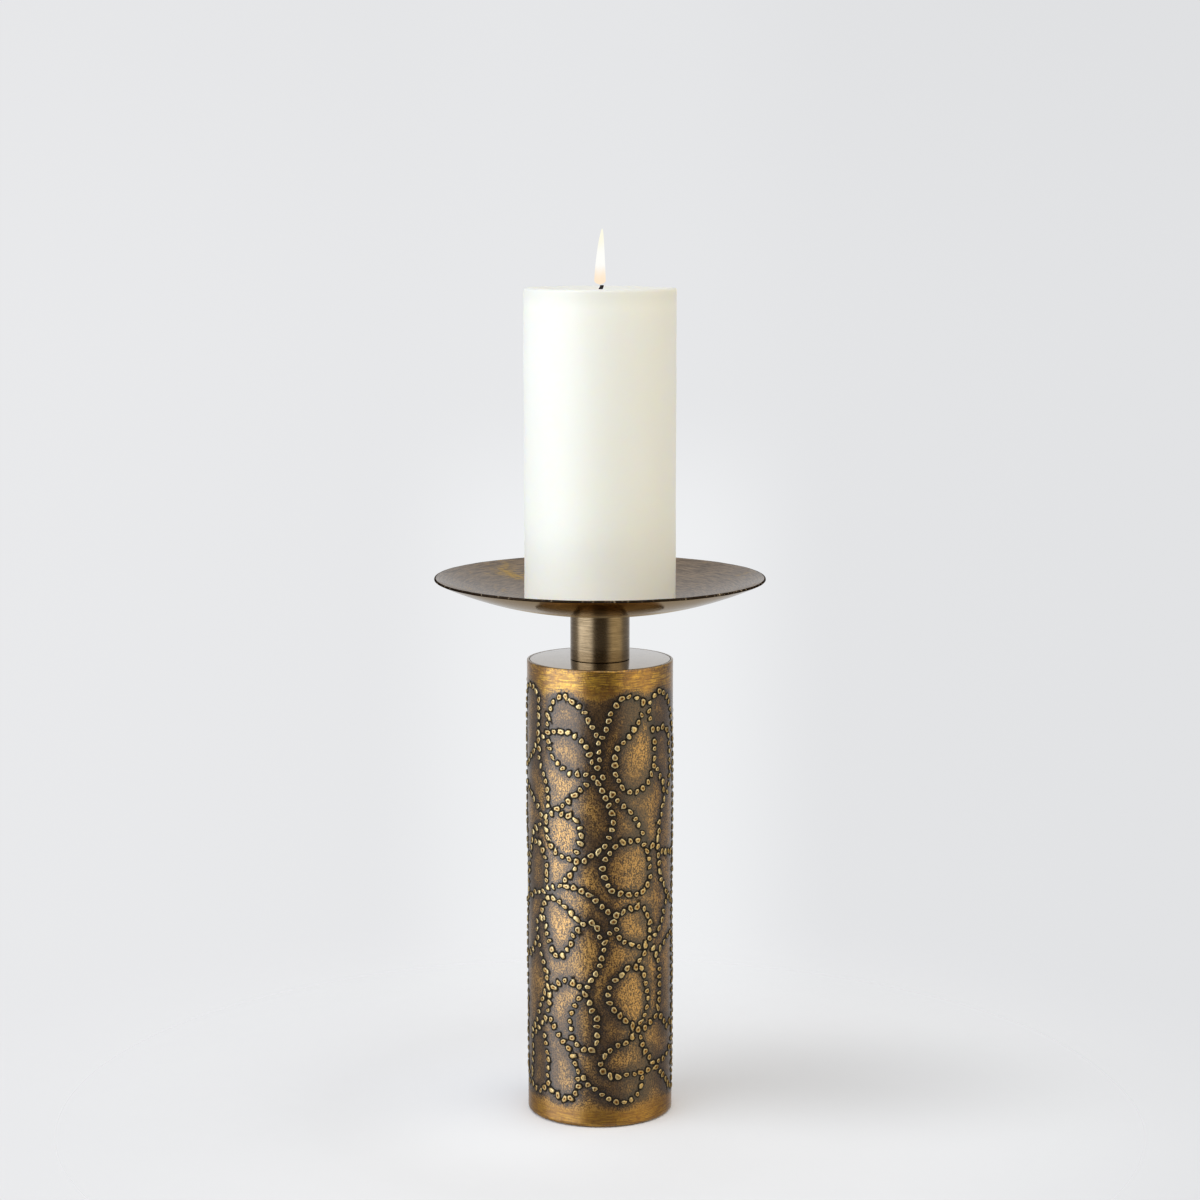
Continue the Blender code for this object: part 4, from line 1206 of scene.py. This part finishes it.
def paper_colour(n):
    """White paper, painted lighter near the holder's left where the holder would shade it, with a soft
    painted shadow to its right.
    """
    distance, _ = n.radius()
    paper = n.mix(n.noise(n.place(), 0.05, 3.0, 0.5), (0.775, 0.777, 0.785), (0.79, 0.792, 0.80))
    # painted light: paler paper near the holder, most on its left, lifting the shade it would cast there
    near = n.product(n.fade(distance, 36.0, 150.0, 1.0, 0.0), n.fade(n.axes()[0], -30.0, 70.0, 1.0, 0.25))
    paper = n.mix(near, paper, (0.93, 0.94, 0.96))
    # painted shadow: a soft grey patch on the paper to the right of the holder
    shade = n.fade(n.distance(n.place(SHADE_SQUEEZE), SHADE_CENTRE), 10.0, 115.0, 0.17, 0.0)
    return n.mix(shade, paper, BLACK)


def make_floor():
    """A pale round floor that fades out into the backdrop."""
    profile = [(FLOOR_RADIUS * (1 - i / FLOOR_RINGS), 0.0) for i in range(FLOOR_RINGS + 1)]
    points, faces = turned(profile, steps=96)
    mesh = bpy.data.meshes.new("floor")
    mesh.from_pydata((points * MM).tolist(), [], [face[::-1] for face in faces])
    floor = bpy.data.objects.new("floor", mesh)
    floor.location.z = -FLOOR_DROP * MM
    floor.visible_glossy = False
    bpy.context.scene.collection.objects.link(floor)
    material, n, surface = finish_of("floor_paper", Roughness=0.9)
    n.feed(surface, "Base Color", paper_colour(n))
    clear = n.add("BsdfTransparent").outputs[0]
    gone = n.fade(n.radius()[0], 60.0, 400.0)
    fading = n.add("MixShader", {0: gone, 1: surface.outputs[0], 2: clear})
    output = material.node_tree.nodes["Material Output"]
    n.tree.links.new(fading.outputs[0], output.inputs["Surface"])
    mesh.materials.append(material)


def studio_light(n, x, y, z):
    """What lights the scene and shows in reflections: a pale room, dark round the camera, and soft lights."""
    azimuth = n.math("DEGREES", n.math("ARCTAN2", x, n.product(y, -1.0)))
    rise = n.math("DEGREES", n.math("ARCSINE", z))

    def band(value, low, high, soft):
        """1 between low and high, fading out over soft degrees to either side."""
        rising = n.fade(value, low - soft, low + soft)
        return n.product(rising, n.fade(value, high - soft, high + soft, 1.0, 0.0))

    light = n.mix(band(azimuth, -150.0, 150.0, 20.0), ROOM_BACK, ROOM_FRONT)
    above = n.product(band(azimuth, -60.0, 60.0, 20.0), n.fade(rise, 18.0, 34.0))
    light = n.mix(above, light, (1.62, 1.62, 1.60))
    camera_side = n.product(band(azimuth, -30.0, 30.0, 9.0), n.fade(rise, 14.0, 30.0, 1.0, 0.0),
                            n.fade(rise, -19.0, -11.0, 0.1, 1.0))
    light = n.mix(camera_side, light, CAMERA_SIDE)
    light = n.mix(n.fade(rise, 48.0, 68.0), light, (1.28, 1.28, 1.30))
    light = n.mix(n.fade(rise, -35.0, -18.0, 1.0, 0.0), light, grey(0.62))
    for around, up, colour in LIGHT_BOXES:
        light = n.mix(n.product(band(azimuth, *around), band(rise, *up)), light, colour)
    return light


def backdrop(n, x, z):
    """What the camera sees: pale grey, darker to the right and the top, with a glow behind the holder."""
    pale = n.mix(n.fade(x, -0.25, 0.25), BACKDROP_LEFT, BACKDROP_RIGHT)
    pale = n.mix(n.fade(z, -0.06, 0.08, 0.0, 0.022), pale, BLACK)
    beside = n.fade(n.math("ABSOLUTE", x), 0.026, 0.085, 1.0, 0.0)
    return n.mix(n.product(beside, n.fade(z, -0.13, -0.07, 1.0, 0.15)), pale, BACKDROP_GLOW)


def make_world():
    """A white studio, with one look for the camera and another for light and reflections."""
    world = bpy.data.worlds.new("studio")
    bpy.context.scene.world = world
    world.use_nodes = True
    n = Nodes(world.node_tree)
    x, y, z = n.add("SeparateXYZ", {0: n.add("TexCoord").outputs["Generated"]}).outputs
    seen = n.add("LightPath").outputs["Is Camera Ray"]
    colour = n.mix(seen, studio_light(n, x, y, z), backdrop(n, x, z))
    n.feed(world.node_tree.nodes["Background"], "Color", colour)


def make_camera():
    """The camera, a little above the dish and tipped down at the base."""
    data = bpy.data.cameras.new("camera")
    data.sensor_width = SENSOR_WIDTH
    data.lens = CAMERA_LENS
    camera = bpy.data.objects.new("camera", data)
    camera.location = CAMERA_PLACE
    camera.rotation_euler = (math.radians(CAMERA_TIP), 0.0, 0.0)
    bpy.context.scene.collection.objects.link(camera)
    bpy.context.scene.camera = camera


make_sleeve()
make_top_plate()
make_felt()
make_neck()
make_dish()
make_pricket()
make_candle()
make_wick()
make_flame()
dress_hidden_nodes()
make_floor()
make_world()
make_camera()
bpy.context.scene.view_settings.view_transform = "Standard"
